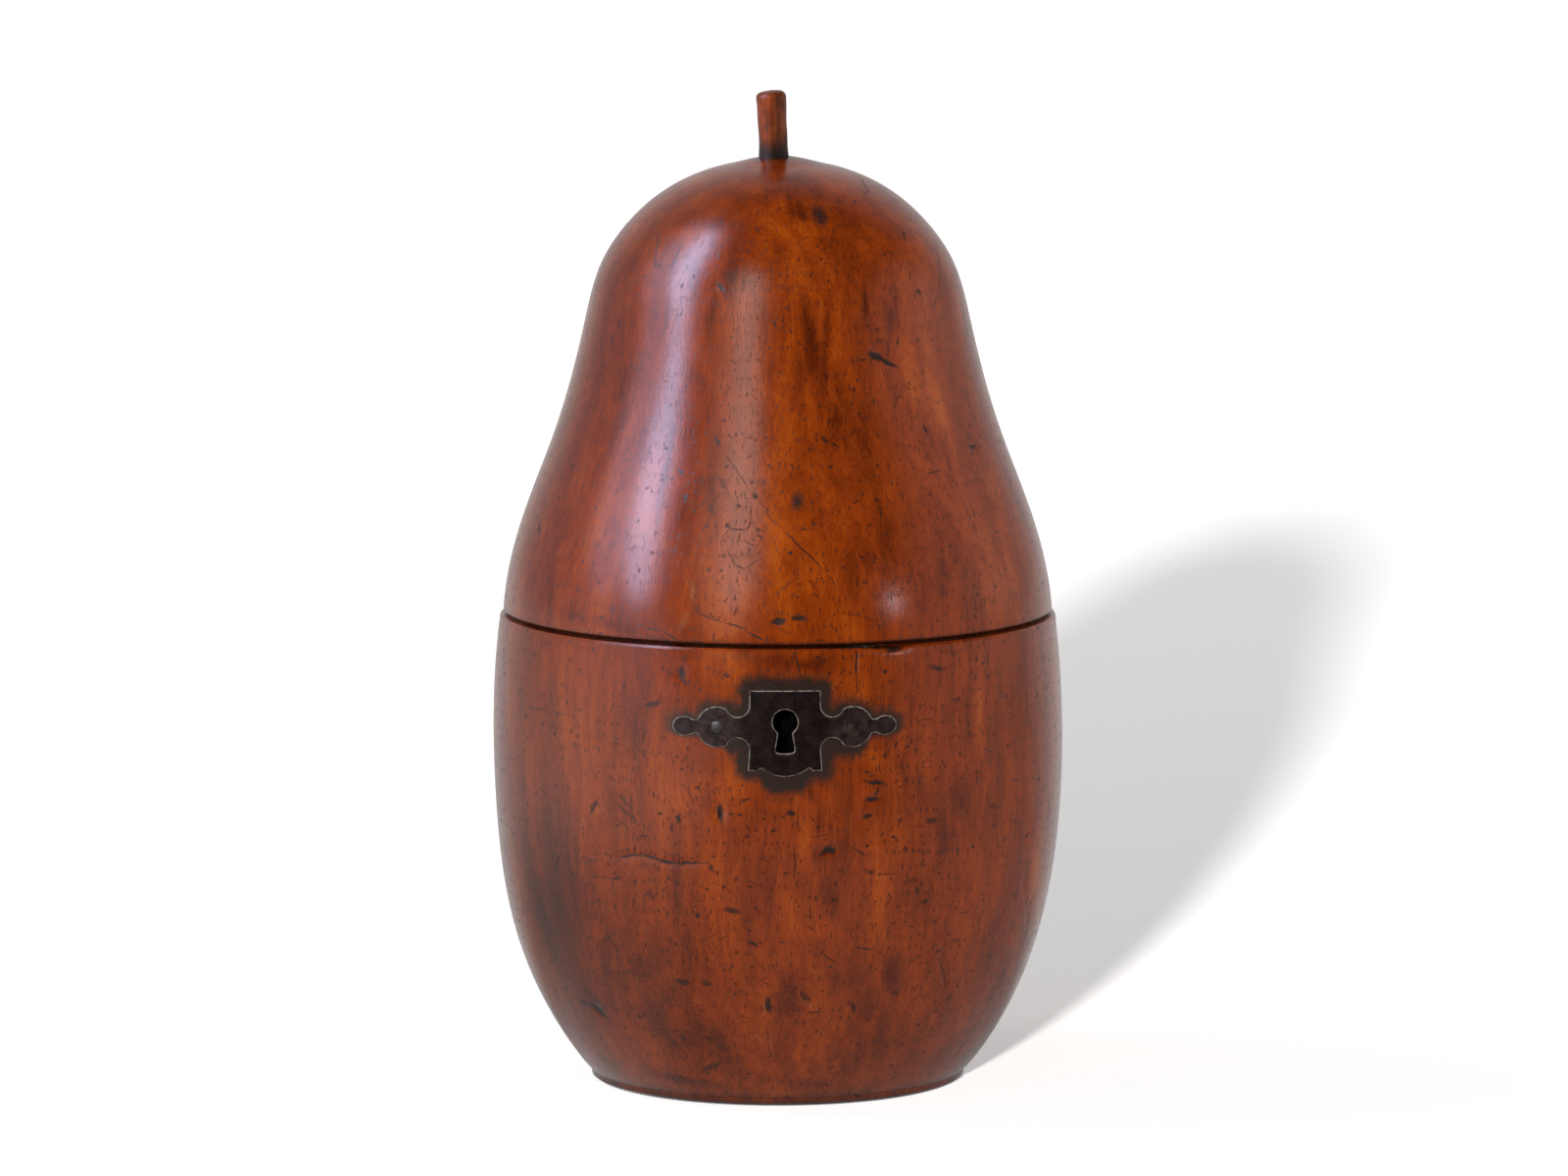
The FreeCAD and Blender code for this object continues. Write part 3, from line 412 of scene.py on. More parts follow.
bowl = turned("caddyBowl", bowlProfile, spreadAngles(bowlLook["front"], bowlLook["back"]), bowlMove)
fit = bowlLook["fit"]
caseLow, caseHigh = corners("lock_case")
lockLow, lockHigh = corners("lock_plate")
leafLow, leafHigh = corners("hinge_leaf_base")
pinLow, pinHigh = corners("hinge_pin")
hingeY, hingeZ = (pinLow[1] + pinHigh[1]) / 2, (pinLow[2] + pinHigh[2]) / 2
above = seamHeight + 8

# Room for the lock and the hinge, from the sizes of the fittings
roomLook = {
    "barrel": 2.5, "over": 0.3, "leaf": 1.25, "lipGap": 0.4, "lockBack": 1.2, "lipUnder": 0.01,
    "caseInside": -30, "lockInside": -28, "leafInside": 30, "bowlBack": 47.4, "lidBack": 55, "lidUnder": 4,
}
leafLeft, leafRight, leafInside = leafLow[0] - fit, leafHigh[0] + fit, roomLook["leafInside"]
lipLeft, lipRight = leafLow[0] - roomLook["lipGap"], leafHigh[0] + roomLook["lipGap"]
tabUnder, lipUnder = seamHeight - roomLook["leaf"], seamHeight - roomLook["lipUnder"]
lockFront = lockHigh[1] - roomLook["lockBack"]


def barrelRoom(name):
    left, right = pinLow[0] - roomLook["over"], pinHigh[0] + roomLook["over"]
    return crossRod(name, left, right, hingeY, hingeZ, roomLook["barrel"])


recess, _ = bentSheet(
    "recessCut", [plateEdge], -plateLook["sunk"], plateLook["above"], 0.0, plateLook["recessCell"])
keyRoom = keyOutline(plateLook, plateLook["keyFit"])
keyWay, _ = bentSheet(
    "keyCut", [keyRoom], -plateLook["keyDeep"], plateLook["above"], 0.0, plateLook["keyCell"])
carve(bowl, [
    block("caseCut", caseLow - fit, (caseHigh[0] + fit, roomLook["caseInside"], above)),
    block("lockCut", (lockLow[0] - fit, lockFront, lockLow[2] - fit),
          (lockHigh[0] + fit, roomLook["lockInside"], above)),
    block("tabCut", (leafLeft, leafInside, tabUnder), (leafRight, roomLook["bowlBack"], above)),
    block("flangeCut", (leafLeft, leafInside, leafLow[2] - fit),
          (leafRight, leafLow[1] + roomLook["leaf"], above)),
    block("lipCut", (lipLeft, leafInside, lipUnder), (lipRight, roomLook["bowlBack"], above)),
    barrelRoom("barrelCut"), recess, keyWay,
])
bowlPoints = readPoints(bowl)
# distance to the plate's outline, nought inside it: it carries the grime round the plate and the painted
# shade in the keyhole
rear, aside, under = bowlLook["grimeAndShadeArea"]
near = (bowlPoints[:, 1] < rear) & (np.abs(bowlPoints[:, 0]) < aside) & (bowlPoints[:, 2] > under)
grimeAndShadeGap = np.full(len(bowlPoints), bowlLook["reach"])
plateGap = edgeDistance(bowlPoints[near, 0], bowlPoints[near, 2], plateEdge)
grimeAndShadeGap[near] = np.minimum(plateGap, bowlLook["reach"])
setValue(bowl, "plateGap", grimeAndShadeGap)
smooth(bowl)
place(bowl, "bowl", "fruitwood", "base_bowl")
print("bowl made", len(bowl.data.polygons))

# Lid, made in the same way
lidLook = {
    "front": 250, "back": 100, "outerRows": 150, "innerRows": 36, "calm": (80.5, 85, 146, 155),
    "rebate": [(40.3, 83.0), (43.5, 83.0), (43.5, 80.5), (46.4, 80.5), (46.8, 80.9)],
    "rebateCounts": (4, 4, 4, 3),
    "waves": [
        (2, 0.05, 1.4, 0.5, 0.10), (3, 0.09, 0.3, 1.9, 0.07),
        (4, 0.17, 2.6, 0.8, 0.035), (8, 0.33, 1.0, 0.1, 0.010),
    ],
    "dents": [
        (22.4, 127.0, 2.2, 1.0, -18, 0.20), (25.2, 126.0, 2.4, 0.8, -20, 0.12),
        (45.9, 110.6, 1.6, 0.6, -4, 0.25), (-1.0, 84.7, 1.2, 0.7, 0, 0.22),
        (2.3, 85.1, 1.2, 0.7, 0, 0.22), (-15.2, 138.6, 1.2, 0.7, -30, 0.20),
        (38.0, 137.0, 1.0, 0.7, 0, 0.10),
    ],
    "swell": 0.6, "swellReach": (1.5, 8.5),
}
lidFoot = cornered(lidLook["rebate"], lidLook["rebateCounts"])
lidInside = clampedSpline(lidHollowPoles, lidLook["innerRows"])
lidOutside = clampedSpline(lidPoles, lidLook["outerRows"])
# the crown swells up a little towards the stem
lidOutside[:, 1] += lidLook["swell"] * (1 - softStep(*lidLook["swellReach"], lidOutside[:, 0]))
lidProfile = joinRuns(lidInside, lidFoot, lidOutside)
lidFirst = len(lidInside) + len(lidFoot) - 2


def lidMove(a, z, row):
    moved = wave(a, z, lidLook["waves"]) * between(z, *lidLook["calm"]) - hollows(a, z, lidLook["dents"])
    return np.where(row >= lidFirst, moved, 0)


lid = turned("caddyLid", lidProfile, spreadAngles(lidLook["front"], lidLook["back"]), lidMove)
upLow, upHigh = corners("hinge_leaf_lid")
strikeLow, strikeHigh = corners("strike_plate")
upLeft, upRight, lidUnder = upLow[0] - fit, upHigh[0] + fit, lidRim - roomLook["lidUnder"]
carve(lid, [
    block("lidTabCut", (upLeft, leafInside, lidUnder),
          (upRight, roomLook["lidBack"], lidRim + roomLook["leaf"])),
    block("lidFlangeCut", (upLeft, leafInside, lidUnder),
          (upRight, upLow[1] + roomLook["leaf"], upHigh[2] + fit)),
    barrelRoom("lidBarrelCut"),
    block("strikeCut", strikeLow - (0, 0, 1), strikeHigh),
])
smooth(lid)
place(lid, "lid", "fruitwood", "lid_dome")
print("lid made", len(lid.data.polygons))

# Escutcheon plate, hammered a little and worn bright along its edges
plate, plateRise = bentSheet(
    "escutcheon", [plateEdge, keyEdge], plateLook["seat"] - plateLook["sunk"], plateLook["proud"],
    plateLook["bevel"], plateLook["cell"])
platePoints = readPoints(plate)
topFace = plateRise > plateLook["proud"] - plateLook["seat"]
plateX, plateZ = platePoints[:, 0], platePoints[:, 2]
ripple = np.sin(1.7 * plateX + 0.6 * np.sin(1.1 * plateZ)) * np.sin(1.4 * plateZ + 0.5)
platePoints[:, 1] += np.where(plateRise > 0, plateLook["ripple"] * ripple, 0)
writePoints(plate, platePoints)
setValue(plate, "wornEdge", np.where(topFace, 0, 1))
smooth(plate, 50)
place(plate, "bowl", "black_iron", "escutcheon_plate")

# Pins: the left one a domed head with a few hammer facets, the right one a small head in a dished ring
pinLook = {
    "x": 11.3, "z": 67.0, "columns": 28, "domeFacet": 0.05, "ringFacet": 0.02,
    "dome": [
        (0, -1.2), (0.6, -1.2), (0.6, -0.1), (1.05, 0.0), (1.1, 0.12), (1.02, 0.28), (0.8, 0.42), (0.45, 0.5),
        (0, 0.53),
    ],
    "ring": [
        (0, -1.2), (0.6, -1.2), (0.6, -0.1), (1.66, -0.02), (1.7, 0.08), (1.6, 0.17), (1.42, 0.19),
        (1.2, 0.1), (0.95, 0.04), (0.75, 0.06), (0.62, 0.22), (0.42, 0.3), (0.2, 0.26), (0, 0.22),
    ],
}


def pinHead(run, side, facet):
    # rings of the head turned about the line that leaves the bowl at the pin
    run = np.array(run)
    a = np.linspace(0, 2 * np.pi, pinLook["columns"], False)
    r, h = run[1:-1].T
    grid = r[:, None] * (1 + facet * np.cos(5 * a + 0.7)[None] + 0.5 * facet * np.cos(3 * a)[None])
    rise = np.repeat(h[:, None], len(a), 1)
    local = np.stack([grid * np.cos(a), grid * np.sin(a), rise], -1).reshape(-1, 3)
    local = np.concatenate([local, [[0, 0, run[0, 1]], [0, 0, run[-1, 1]]]])
    reach = bowlRadius(pinLook["z"]) + plateLook["proud"]
    x = side * pinLook["x"]
    out = np.array([x, -np.sqrt(reach ** 2 - x ** 2), 0]) / reach
    axes = np.array([(-out[1], out[0], 0), (0, 0, 1), out])
    points = out * reach + (0, 0, pinLook["z"]) + local @ axes
    return points, *ringFaces(*grid.shape)


leftPin = pinHead(pinLook["dome"], -1, pinLook["domeFacet"])
rightPin = pinHead(pinLook["ring"], 1, pinLook["ringFacet"])
shift = len(leftPin[0])
pins = makeObject(
    "escutcheonPins", np.concatenate([leftPin[0], rightPin[0]]),
    np.concatenate([leftPin[1], rightPin[1] + shift]),
    np.concatenate([leftPin[2], rightPin[2] + shift]))
smooth(pins, 50)
place(pins, "bowl", "black_iron", "escutcheon_pins")

# Stem: rings of uneven radius along a leaning line, then a rounded edge and a rough sloping top
stemLook = {
    "x": -0.42, "lean": -0.68, "low": 154.5, "top": 168.95, "slope": 4.5, "columns": 72, "rows": 90,
    "edge": 0.95, "edgeShare": 0.075, "edgeTurn": 0.96, "dome": 0.22, "rough": 0.4,
    "levels": [0, 0.2, 0.35, 0.6, 0.85, 1], "radii": [2.75, 2.60, 2.46, 2.46, 2.50, 2.58],
    "ridges": [(0.03, 2, 0.4, 1.2), (0.03, 5, 1.0, 0.8), (0.025, 9, 2.0, -1.0)],
    "capRings": [0.985, 0.95, 0.9, 0.8, 0.65, 0.45, 0.25, 0.1],
}
stemA = np.linspace(0, 2 * np.pi, stemLook["columns"], False)[None]
stemT = np.linspace(0, 1, stemLook["rows"])[:, None]
capT = np.array(stemLook["capRings"])[:, None]


def stemRadius(t, a):
    # even swell along the stem, and ridges that twist a little: size, number, phase, twist
    ridges = sum(size * np.cos(turns * a + p + twist * t) for size, turns, p, twist in stemLook["ridges"])
    uneven = ridges * (1 + 0.3 * np.cos(9 * t + a)) + 0.03 * np.cos(17 * t + 3 * a)
    return np.interp(t, stemLook["levels"], stemLook["radii"]) + uneven


rounding = np.clip((stemT - 1 + stemLook["edgeShare"]) / stemLook["edgeShare"], 0, 1)
stemSide = stemRadius(stemT, stemA)
stemSide = stemSide - stemLook["edge"] * (1 - np.sqrt(1 - stemLook["edgeTurn"] * rounding ** 2))
ringR = np.concatenate([stemSide, stemSide[-1:] * capT])
level = np.concatenate([stemT, np.ones_like(capT)]) + 0 * stemA
stemX = stemLook["x"] + stemLook["lean"] * level + ringR * np.sin(stemA)
stemY = -ringR * np.cos(stemA)
slope = np.tan(np.radians(stemLook["slope"])) * (stemX - stemLook["x"] - stemLook["lean"])
bump = 0.06 * np.cos(2.6 * stemX + 1) * np.cos(2.3 * stemY) + 0.05 * np.cos(5.1 * stemX - 2.2 * stemY)
domed = stemLook["dome"] * np.concatenate([0 * stemT, 1 - capT ** 2])
fullTop = stemLook["top"] + slope + domed + stemLook["rough"] * bump * softStep(0.97, 1, level)
stemZ = stemLook["low"] + (fullTop - stemLook["low"]) * level
stemEnds = [
    (stemLook["x"], 0, stemLook["low"]),
    (stemLook["x"] + stemLook["lean"], 0, stemLook["top"] + stemLook["dome"]),
]
stemPoints = np.concatenate([np.stack([stemX, stemY, stemZ], -1).reshape(-1, 3), stemEnds])
stem = makeObject("fruitStem", stemPoints, *ringFaces(*ringR.shape))
smooth(stem, 50)
place(stem, "lid", "stem_wood", "stem")

# Foil linings: two offsets of each hollow, creased along and across
foilLook = {
    "gap": 0.1, "thick": 0.4, "rows": 90, "columns": 220, "crease": 0.28, "fadeRows": 6, "creases": 14,
    "bowlSeed": 3, "lidSeed": 4, "turns": (3, 34), "rates": (0.1, 1.0), "phases": (0, 6),
    "room": 0.3, "wide": 60, "below": 70,
}


def foilShell(name, poles, seed):
    # creases are the sharp valleys of folded cosines: one less the root of the wave's size
    near = clampedSpline(poles, foilLook["rows"])
    slopeRun = np.gradient(near, axis=0)
    slopeRun /= np.hypot(*slopeRun.T)[:, None]
    inward = np.stack([-slopeRun[:, 1], slopeRun[:, 0]], 1)
    if (inward[len(near) // 2] @ (-1, 0)) < 0:
        inward = -inward
    outer, inner = near + inward * foilLook["gap"], near + inward * foilLook["thick"]
    atAxis = np.abs(near[:, 0]) < 1e-6
    outer[atAxis, 0] = inner[atAxis, 0] = 0
    # the profile runs from the axis along one face to the rim and back along the other
    fromRim = near[0, 0] > 1
    profile = np.concatenate([outer[::-1], inner] if fromRim else [inner, outer[::-1]])
    first = len(outer) if fromRim else 0
    last = first + len(inner) - 1
    pick, many = np.random.default_rng(seed), foilLook["creases"]
    turns, rates = pick.integers(*foilLook["turns"], many), pick.uniform(*foilLook["rates"], many)
    phases = pick.uniform(*foilLook["phases"], many)

    def creased(a, z, row):
        folds = sum(1 - np.abs(np.cos(t * a + r * z + p)) ** 0.5 for t, r, p in zip(turns, rates, phases))
        folds = folds / many * np.cos(3 * a + 0.2 * z)
        fade = np.clip(np.minimum(row - first, last - row) / foilLook["fadeRows"], 0, 1)
        return np.where((row >= first) & (row <= last), foilLook["crease"] * folds * fade, 0)

    return turned(name, profile, np.linspace(0, 2 * np.pi, foilLook["columns"], False), creased)


room, wide, below = foilLook["room"], foilLook["wide"], foilLook["below"]
bowlFoil = foilShell("bowlFoil", bowlHollowPoles, foilLook["bowlSeed"])
carve(bowlFoil, [
    block("foilLockCut", (lockLow[0] - room, -wide, lockLow[2] - room), (lockHigh[0] + room, 0, above)),
    block("foilHingeCut", (leafLow[0] - room, 0, leafLow[2] - room), (leafHigh[0] + room, wide, above)),
])
smooth(bowlFoil, 60)
place(bowlFoil, "bowl", "tin_foil", "base_foil_lining")
lidFoil = foilShell("lidFoil", lidHollowPoles, foilLook["lidSeed"])
carve(lidFoil, [
    block("lidFoilHingeCut", (upLow[0] - room, 0, below), (upHigh[0] + room, wide, upHigh[2] + room)),
    block("lidFoilStrikeCut", (strikeLow[0] - room, -wide, below),
          (strikeHigh[0] + room, 0, strikeHigh[2] + room)),
])
smooth(lidFoil, 60)
place(lidFoil, "lid", "tin_foil", "lid_foil_lining")
print("stem, escutcheon and linings made")


# Metal fittings: merged copies of the CAD nodes, each with the width of its worn edges
fittings = {
    ("bowl", "lock_steel"): {
        "lock_plate": 0.12, "lock_case": 0.1, "key_wards": 0.06, "lock_rivets": 0.06, "bolt_stump": 0.06,
        "bolt_spring": 0.05, "lock_screws": 0.04,
    },
    ("bolt", "lock_steel"): {"lock_bolt": 0.1},
    ("bowl", "hinge_iron"): {"hinge_leaf_base": 0.1, "hinge_pin": 0.12, "base_leaf_screws": 0.04},
    ("lid", "hinge_iron"): {"hinge_leaf_lid": 0.1, "lid_leaf_screws": 0.04},
    ("lid", "lock_steel"): {"strike_plate": 0.1, "lock_staple": 0.1, "strike_nails": 0.04},
}


wearLook = {"merge": 1e-6, "flat": np.radians(1), "rounds": 2, "sharp": np.radians(40)}


def wornCopy(node, body, slotName, width):
    first, *rest = node.split("_")
    name = first + "".join(word.capitalize() for word in rest)
    thing = bpy.data.objects.new(name, nodes[node].data.copy())
    thing.data.materials.clear()
    scene.collection.objects.link(thing)
    work = bmesh.new()
    work.from_mesh(thing.data)
    bmesh.ops.remove_doubles(work, verts=work.verts, dist=wearLook["merge"])
    bmesh.ops.dissolve_limit(work, angle_limit=wearLook["flat"], verts=work.verts, edges=work.edges)
    work.to_mesh(thing.data)
    work.free()
    step = thing.modifiers.new("edges", "BEVEL")
    step.width, step.segments = width * mm, wearLook["rounds"]
    step.limit_method, step.angle_limit = "ANGLE", wearLook["sharp"]
    step.use_clamp_overlap = True
    settled(thing)
    smooth(thing, 40)
    return place(thing, body, slotName, node)


metals = [
    wornCopy(node, body, slotName, width)
    for (body, slotName), widths in fittings.items() for node, width in widths.items()
]
print("fittings made", len(metals))


# Marks on the wood: start and end along the arc and in height, half width, strength
lidMarks = {
    "dark": [
        (-40.4, 146.5, -36.1, 141.6, 0.33, 0.75), (-36.2, 141.4, -32.5, 141.0, 0.26, 0.6),
        (-37.2, 142.8, -36.3, 141.4, 0.49, 0.6), (-30.4, 145.9, -30.1, 140.4, 0.43, 0.5),
        (-23.2, 140.2, -23.0, 140.1, 0.36, 0.9), (-26.5, 145.9, -26.3, 145.9, 0.39, 0.6),
        (-28.0, 148.5, -27.8, 148.5, 0.33, 0.5), (-17.2, 145.2, -17.1, 145.2, 0.29, 0.7),
        (-8.5, 151.0, -8.1, 150.0, 0.49, 0.35), (-45.1, 147.5, -44.6, 147.4, 0.26, 0.5),
        (-32.5, 137.8, -32.3, 137.6, 0.39, 0.4), (-31.6, 133.4, -31.5, 132.8, 0.46, 0.5),
        (-44.7, 131.9, -44.2, 131.3, 0.49, 0.5), (-46.7, 128.8, -46.1, 127.6, 0.39, 0.55),
        (-16.1, 139.1, -14.4, 138.2, 0.46, 0.85), (-14.4, 138.2, -13.5, 137.1, 0.36, 0.6),
        (-9.8, 140.2, -9.6, 138.9, 0.56, 0.3), (-1.8, 133.1, -1.7, 132.1, 0.43, 0.6),
        (-18.7, 129.1, -18.6, 129.1, 0.29, 0.6), (-20.6, 127.6, -20.4, 127.4, 0.49, 0.35),
        (-18.1, 123.2, -18.0, 122.9, 0.36, 0.5), (-41.1, 123.3, -40.8, 123.0, 0.36, 0.4),
        (-17.9, 144.1, -17.5, 143.2, 0.59, 0.3), (-5.3, 143.8, -3.4, 145.3, 0.16, 0.55),
        (-6.0, 143.6, -4.4, 144.3, 0.13, 0.4), (11.9, 149.6, 14.8, 149.9, 2.1, 0.62),
        (6.7, 149.8, 9.2, 149.5, 0.82, 0.25), (59.9, 155.0, 37.2, 152.1, 0.16, 0.6),
        (37.2, 152.1, 36.1, 149.4, 0.15, 0.4), (41.8, 146.6, 40.2, 145.1, 0.25, 0.8),
        (54.8, 143.2, 51.0, 140.0, 0.25, 0.7), (51.0, 140.0, 45.0, 135.9, 0.2, 0.6),
        (45.0, 135.9, 42.5, 133.9, 0.26, 0.55), (37.4, 137.1, 38.4, 136.9, 0.69, 0.6),
        (40.6, 138.1, 40.7, 138.0, 0.39, 0.6), (42.7, 137.4, 42.8, 137.3, 0.36, 0.6),
        (20.8, 127.4, 23.0, 126.7, 0.92, 1.0), (22.5, 126.8, 27.2, 125.1, 0.52, 0.95),
        (17.0, 126.4, 20.0, 126.7, 0.23, 0.5), (28.7, 129.6, 28.5, 129.0, 0.39, 0.7),
        (25.6, 128.4, 25.6, 127.8, 0.49, 0.45), (9.6, 124.3, 9.7, 123.8, 0.46, 0.65),
        (15.6, 122.1, 15.6, 121.4, 0.46, 0.7), (24.6, 152.2, 23.7, 151.8, 0.46, 0.45),
        (31.7, 151.9, 29.9, 151.4, 0.39, 0.55), (16.4, 147.7, 15.4, 146.7, 0.18, 0.65),
        (36.3, 139.9, 36.0, 139.2, 0.36, 0.6), (24.2, 140.6, 24.1, 140.2, 0.39, 0.35),
        (17.7, 139.3, 17.7, 139.1, 0.29, 0.55), (38.7, 130.8, 38.8, 130.7, 0.29, 0.7),
        (-3.0, 141.8, -2.9, 141.3, 0.36, 0.5), (29.0, 143.1, 31.3, 143.7, 0.2, 0.6),
        (1.9, 142.9, 1.1, 139.6, 0.15, 0.5), (-0.6, 139.1, 5.9, 138.7, 0.13, 0.4),
        (1.7, 138.1, 7.8, 137.0, 0.13, 0.35), (4.1, 141.0, 9.3, 139.7, 0.13, 0.35),
        (-27.3, 118.3, -27.2, 118.1, 0.29, 0.55), (-27.9, 111.2, -27.8, 110.9, 0.36, 0.55),
        (-20.8, 108.5, -20.0, 108.1, 0.52, 0.7), (-24.0, 107.1, -23.8, 106.8, 0.29, 0.7),
        (-31.7, 108.4, -31.5, 108.1, 0.36, 0.45), (-29.6, 108.4, -28.4, 108.5, 0.36, 0.35),
        (-18.7, 104.7, -18.5, 103.8, 0.49, 0.6), (-14.1, 114.0, -13.0, 113.1, 0.49, 0.5),
        (-12.1, 107.4, -11.4, 106.3, 0.72, 0.4), (-4.5, 107.1, -3.2, 106.8, 0.82, 0.25),
        (-8.4, 103.3, -8.3, 103.2, 0.46, 0.65), (-13.5, 103.0, -13.0, 102.1, 0.43, 0.6),
        (-5.4, 105.0, -5.0, 104.4, 0.43, 0.6), (-5.6, 114.0, -5.5, 113.9, 0.36, 0.6),
        (-3.5, 114.3, -3.4, 114.2, 0.33, 0.6), (-11.0, 114.2, -10.0, 114.3, 0.23, 0.45),
        (-7.2, 111.1, -5.9, 111.7, 0.26, 0.45), (-10.2, 100.1, -10.1, 100.0, 0.46, 0.65),
        (-5.4, 100.7, -5.3, 100.7, 0.33, 0.5), (-4.7, 98.5, -4.6, 98.3, 0.33, 0.5),
        (-12.8, 92.9, -12.7, 92.6, 0.36, 0.5), (-23.7, 95.1, -23.2, 95.1, 0.33, 0.6),
        (-27.3, 95.1, -27.2, 95.0, 0.26, 0.5), (-54.9, 97.2, -53.6, 95.6, 0.39, 0.75),
        (-30.0, 86.0, -29.8, 84.4, 0.43, 0.7), (-32.4, 83.8, -31.6, 83.9, 0.39, 0.55),
        (-26.8, 86.9, -26.7, 86.8, 0.36, 0.5), (-38.2, 86.4, -38.1, 85.9, 0.36, 0.4),
        (-48.6, 102.9, -47.7, 101.7, 0.39, 0.45), (-56.6, 101.2, -55.8, 100.5, 0.33, 0.45),
        (-12.5, 112.7, -5.9, 105.3, 0.15, 0.6), (-5.9, 105.3, -5.0, 104.4, 0.21, 0.8),
        (-5.0, 104.4, 0.0, 99.4, 0.15, 0.6), (0.0, 99.3, 6.9, 92.6, 0.18, 0.8),
        (6.9, 92.6, 9.0, 89.7, 0.15, 0.5), (-6.1, 103.6, -5.8, 100.2, 0.2, 0.6),
        (-5.8, 100.2, -6.5, 99.1, 0.23, 0.6), (-6.5, 99.1, -9.4, 99.3, 0.23, 0.6),
        (-9.4, 99.3, -10.2, 99.9, 0.2, 0.6), (-14.3, 104.8, -13.5, 101.2, 0.16, 0.5),
        (-13.5, 101.2, -14.9, 98.9, 0.21, 0.6), (-14.9, 98.9, -15.1, 96.3, 0.18, 0.5),
        (-15.1, 96.3, -16.5, 97.4, 0.15, 0.4), (-9.8, 96.2, -8.4, 93.7, 0.21, 0.45),
        (-8.4, 93.7, -6.9, 93.0, 0.25, 0.5), (-6.9, 93.0, -3.4, 94.9, 0.23, 0.45),
        (-8.2, 95.2, -4.2, 95.5, 0.98, 0.16), (-14.6, 85.6, -9.6, 84.2, 0.15, 0.75),
        (-9.6, 84.2, -6.1, 82.9, 0.18, 0.8), (-6.1, 82.9, -3.0, 81.2, 0.18, 0.75),
        (-23.4, 82.7, -20.2, 82.3, 0.26, 0.8), (-20.2, 82.3, -17.4, 80.8, 0.2, 0.8),
        (2.5, 104.4, 2.5, 103.6, 1.7, 0.5), (44.5, 110.7, 47.2, 110.5, 0.52, 0.85),
        (47.6, 110.6, 49.9, 110.5, 0.33, 0.3), (29.8, 107.4, 33.5, 107.4, 0.18, 0.7),
        (16.7, 107.7, 19.3, 107.6, 0.15, 0.5), (31.9, 115.1, 32.2, 113.7, 0.31, 0.85),
        (7.7, 114.3, 9.0, 113.6, 0.46, 0.55), (9.6, 113.3, 11.4, 112.6, 0.29, 0.5),
        (2.4, 113.9, 3.4, 113.7, 0.56, 0.25), (0.8, 95.9, 0.9, 95.7, 0.46, 0.9),
        (6.1, 91.6, 6.2, 91.3, 0.29, 0.6), (-0.7, 90.1, 0.1, 90.1, 0.43, 0.4),
        (5.2, 100.5, 5.3, 100.4, 0.33, 0.65), (3.1, 99.5, 4.0, 99.5, 0.23, 0.6),
        (12.9, 103.4, 14.0, 103.7, 0.26, 0.55), (18.1, 102.1, 18.0, 101.3, 0.39, 0.55),
        (18.4, 98.6, 18.4, 98.4, 0.36, 0.6), (29.1, 104.2, 29.1, 104.1, 0.25, 0.7),
        (39.2, 100.5, 39.3, 100.3, 0.29, 0.6), (44.0, 96.8, 45.2, 96.6, 0.33, 0.5),
        (29.2, 95.0, 29.3, 94.8, 0.36, 0.5), (12.4, 91.1, 12.3, 89.8, 0.23, 0.5),
        (13.2, 90.7, 14.1, 90.7, 0.43, 0.4), (20.0, 89.4, 20.0, 89.1, 0.39, 0.5),
        (33.9, 84.8, 35.5, 84.6, 0.52, 0.35), (38.3, 86.3, 38.4, 85.3, 0.46, 0.3),
        (-1.8, 84.6, -0.2, 84.7, 0.62, 0.95), (1.5, 85.1, 3.1, 85.1, 0.62, 0.95),
        (10.7, 85.5, 12.7, 85.1, 0.25, 0.4), (12.7, 85.1, 15.4, 84.3, 0.2, 0.4),
    ],
    # pale marks: partly pale scratches, partly painted highlights where worn spots catch the light
    "pale": [
        (-15.6, 90.7, -15.3, 87.8, 0.59, 0.5), (-16.1, 85.7, -17.0, 83.3, 0.98, 0.35),
        (-39.2, 90.5, -39.1, 90.5, 0.21, 0.9), (24.0, 142.2, 24.0, 142.1, 0.18, 0.8),
        (28.6, 133.9, 28.6, 133.8, 0.2, 0.8), (37.5, 139.4, 37.6, 139.4, 0.18, 0.8),
        (35.1, 87.8, 35.2, 87.7, 0.2, 0.8), (-17.9, 80.8, -12.9, 80.4, 0.2, 0.4),
    ],
    "light": [
        (2.3, 149.3, 4.1, 147.0, 4.25, 0.55), (2.6, 137.7, 1.0, 110.5, 2.4, 0.4),
        (0.0, 110.5, -0.2, 86.9, 5.56, 0.5), (5.8, 96.4, 5.5, 90.0, 3.27, 0.5),
        (12.0, 134.4, 10.9, 118.3, 1.47, 0.4), (-53.8, 143.9, -58.9, 149.3, 3.6, 0.35),
        (33.1, 132.0, 31.7, 117.4, 2.29, 0.35), (57.6, 130.3, 50.8, 116.0, 1.31, 0.3),
        (-31.9, 95.2, -27.6, 89.1, 3.27, 0.35), (-6.0, 147.8, 14.0, 148.6, 2.6, 0.6),
        (36.5, 131.0, 37.5, 112.0, 2.8, 0.75), (47.0, 96.0, 43.5, 83.0, 4.0, 0.5),
        (30.0, 128.0, 31.0, 116.0, 1.8, 0.4), (8.0, 103.0, 8.5, 83.0, 4.0, 0.4),
        (-36.6, 106.0, -36.0, 92.4, 5.31, 0.75), (-33.5, 117.5, -36.4, 111.6, 2.61, 0.55),
        (-37.8, 143.9, -38.4, 136.7, 3.16, 0.45), (-33.8, 146.4, -21.9, 146.8, 2.04, 0.5),
        (-9.3, 118.4, -8.9, 105.8, 3.35, 0.35), (-6.8, 93.2, -5.8, 83.6, 4.07, 0.45),
        (-17.6, 89.7, -18.0, 83.2, 2.68, 0.4), (3.9, 111.3, 6.9, 105.8, 2.58, 0.35),
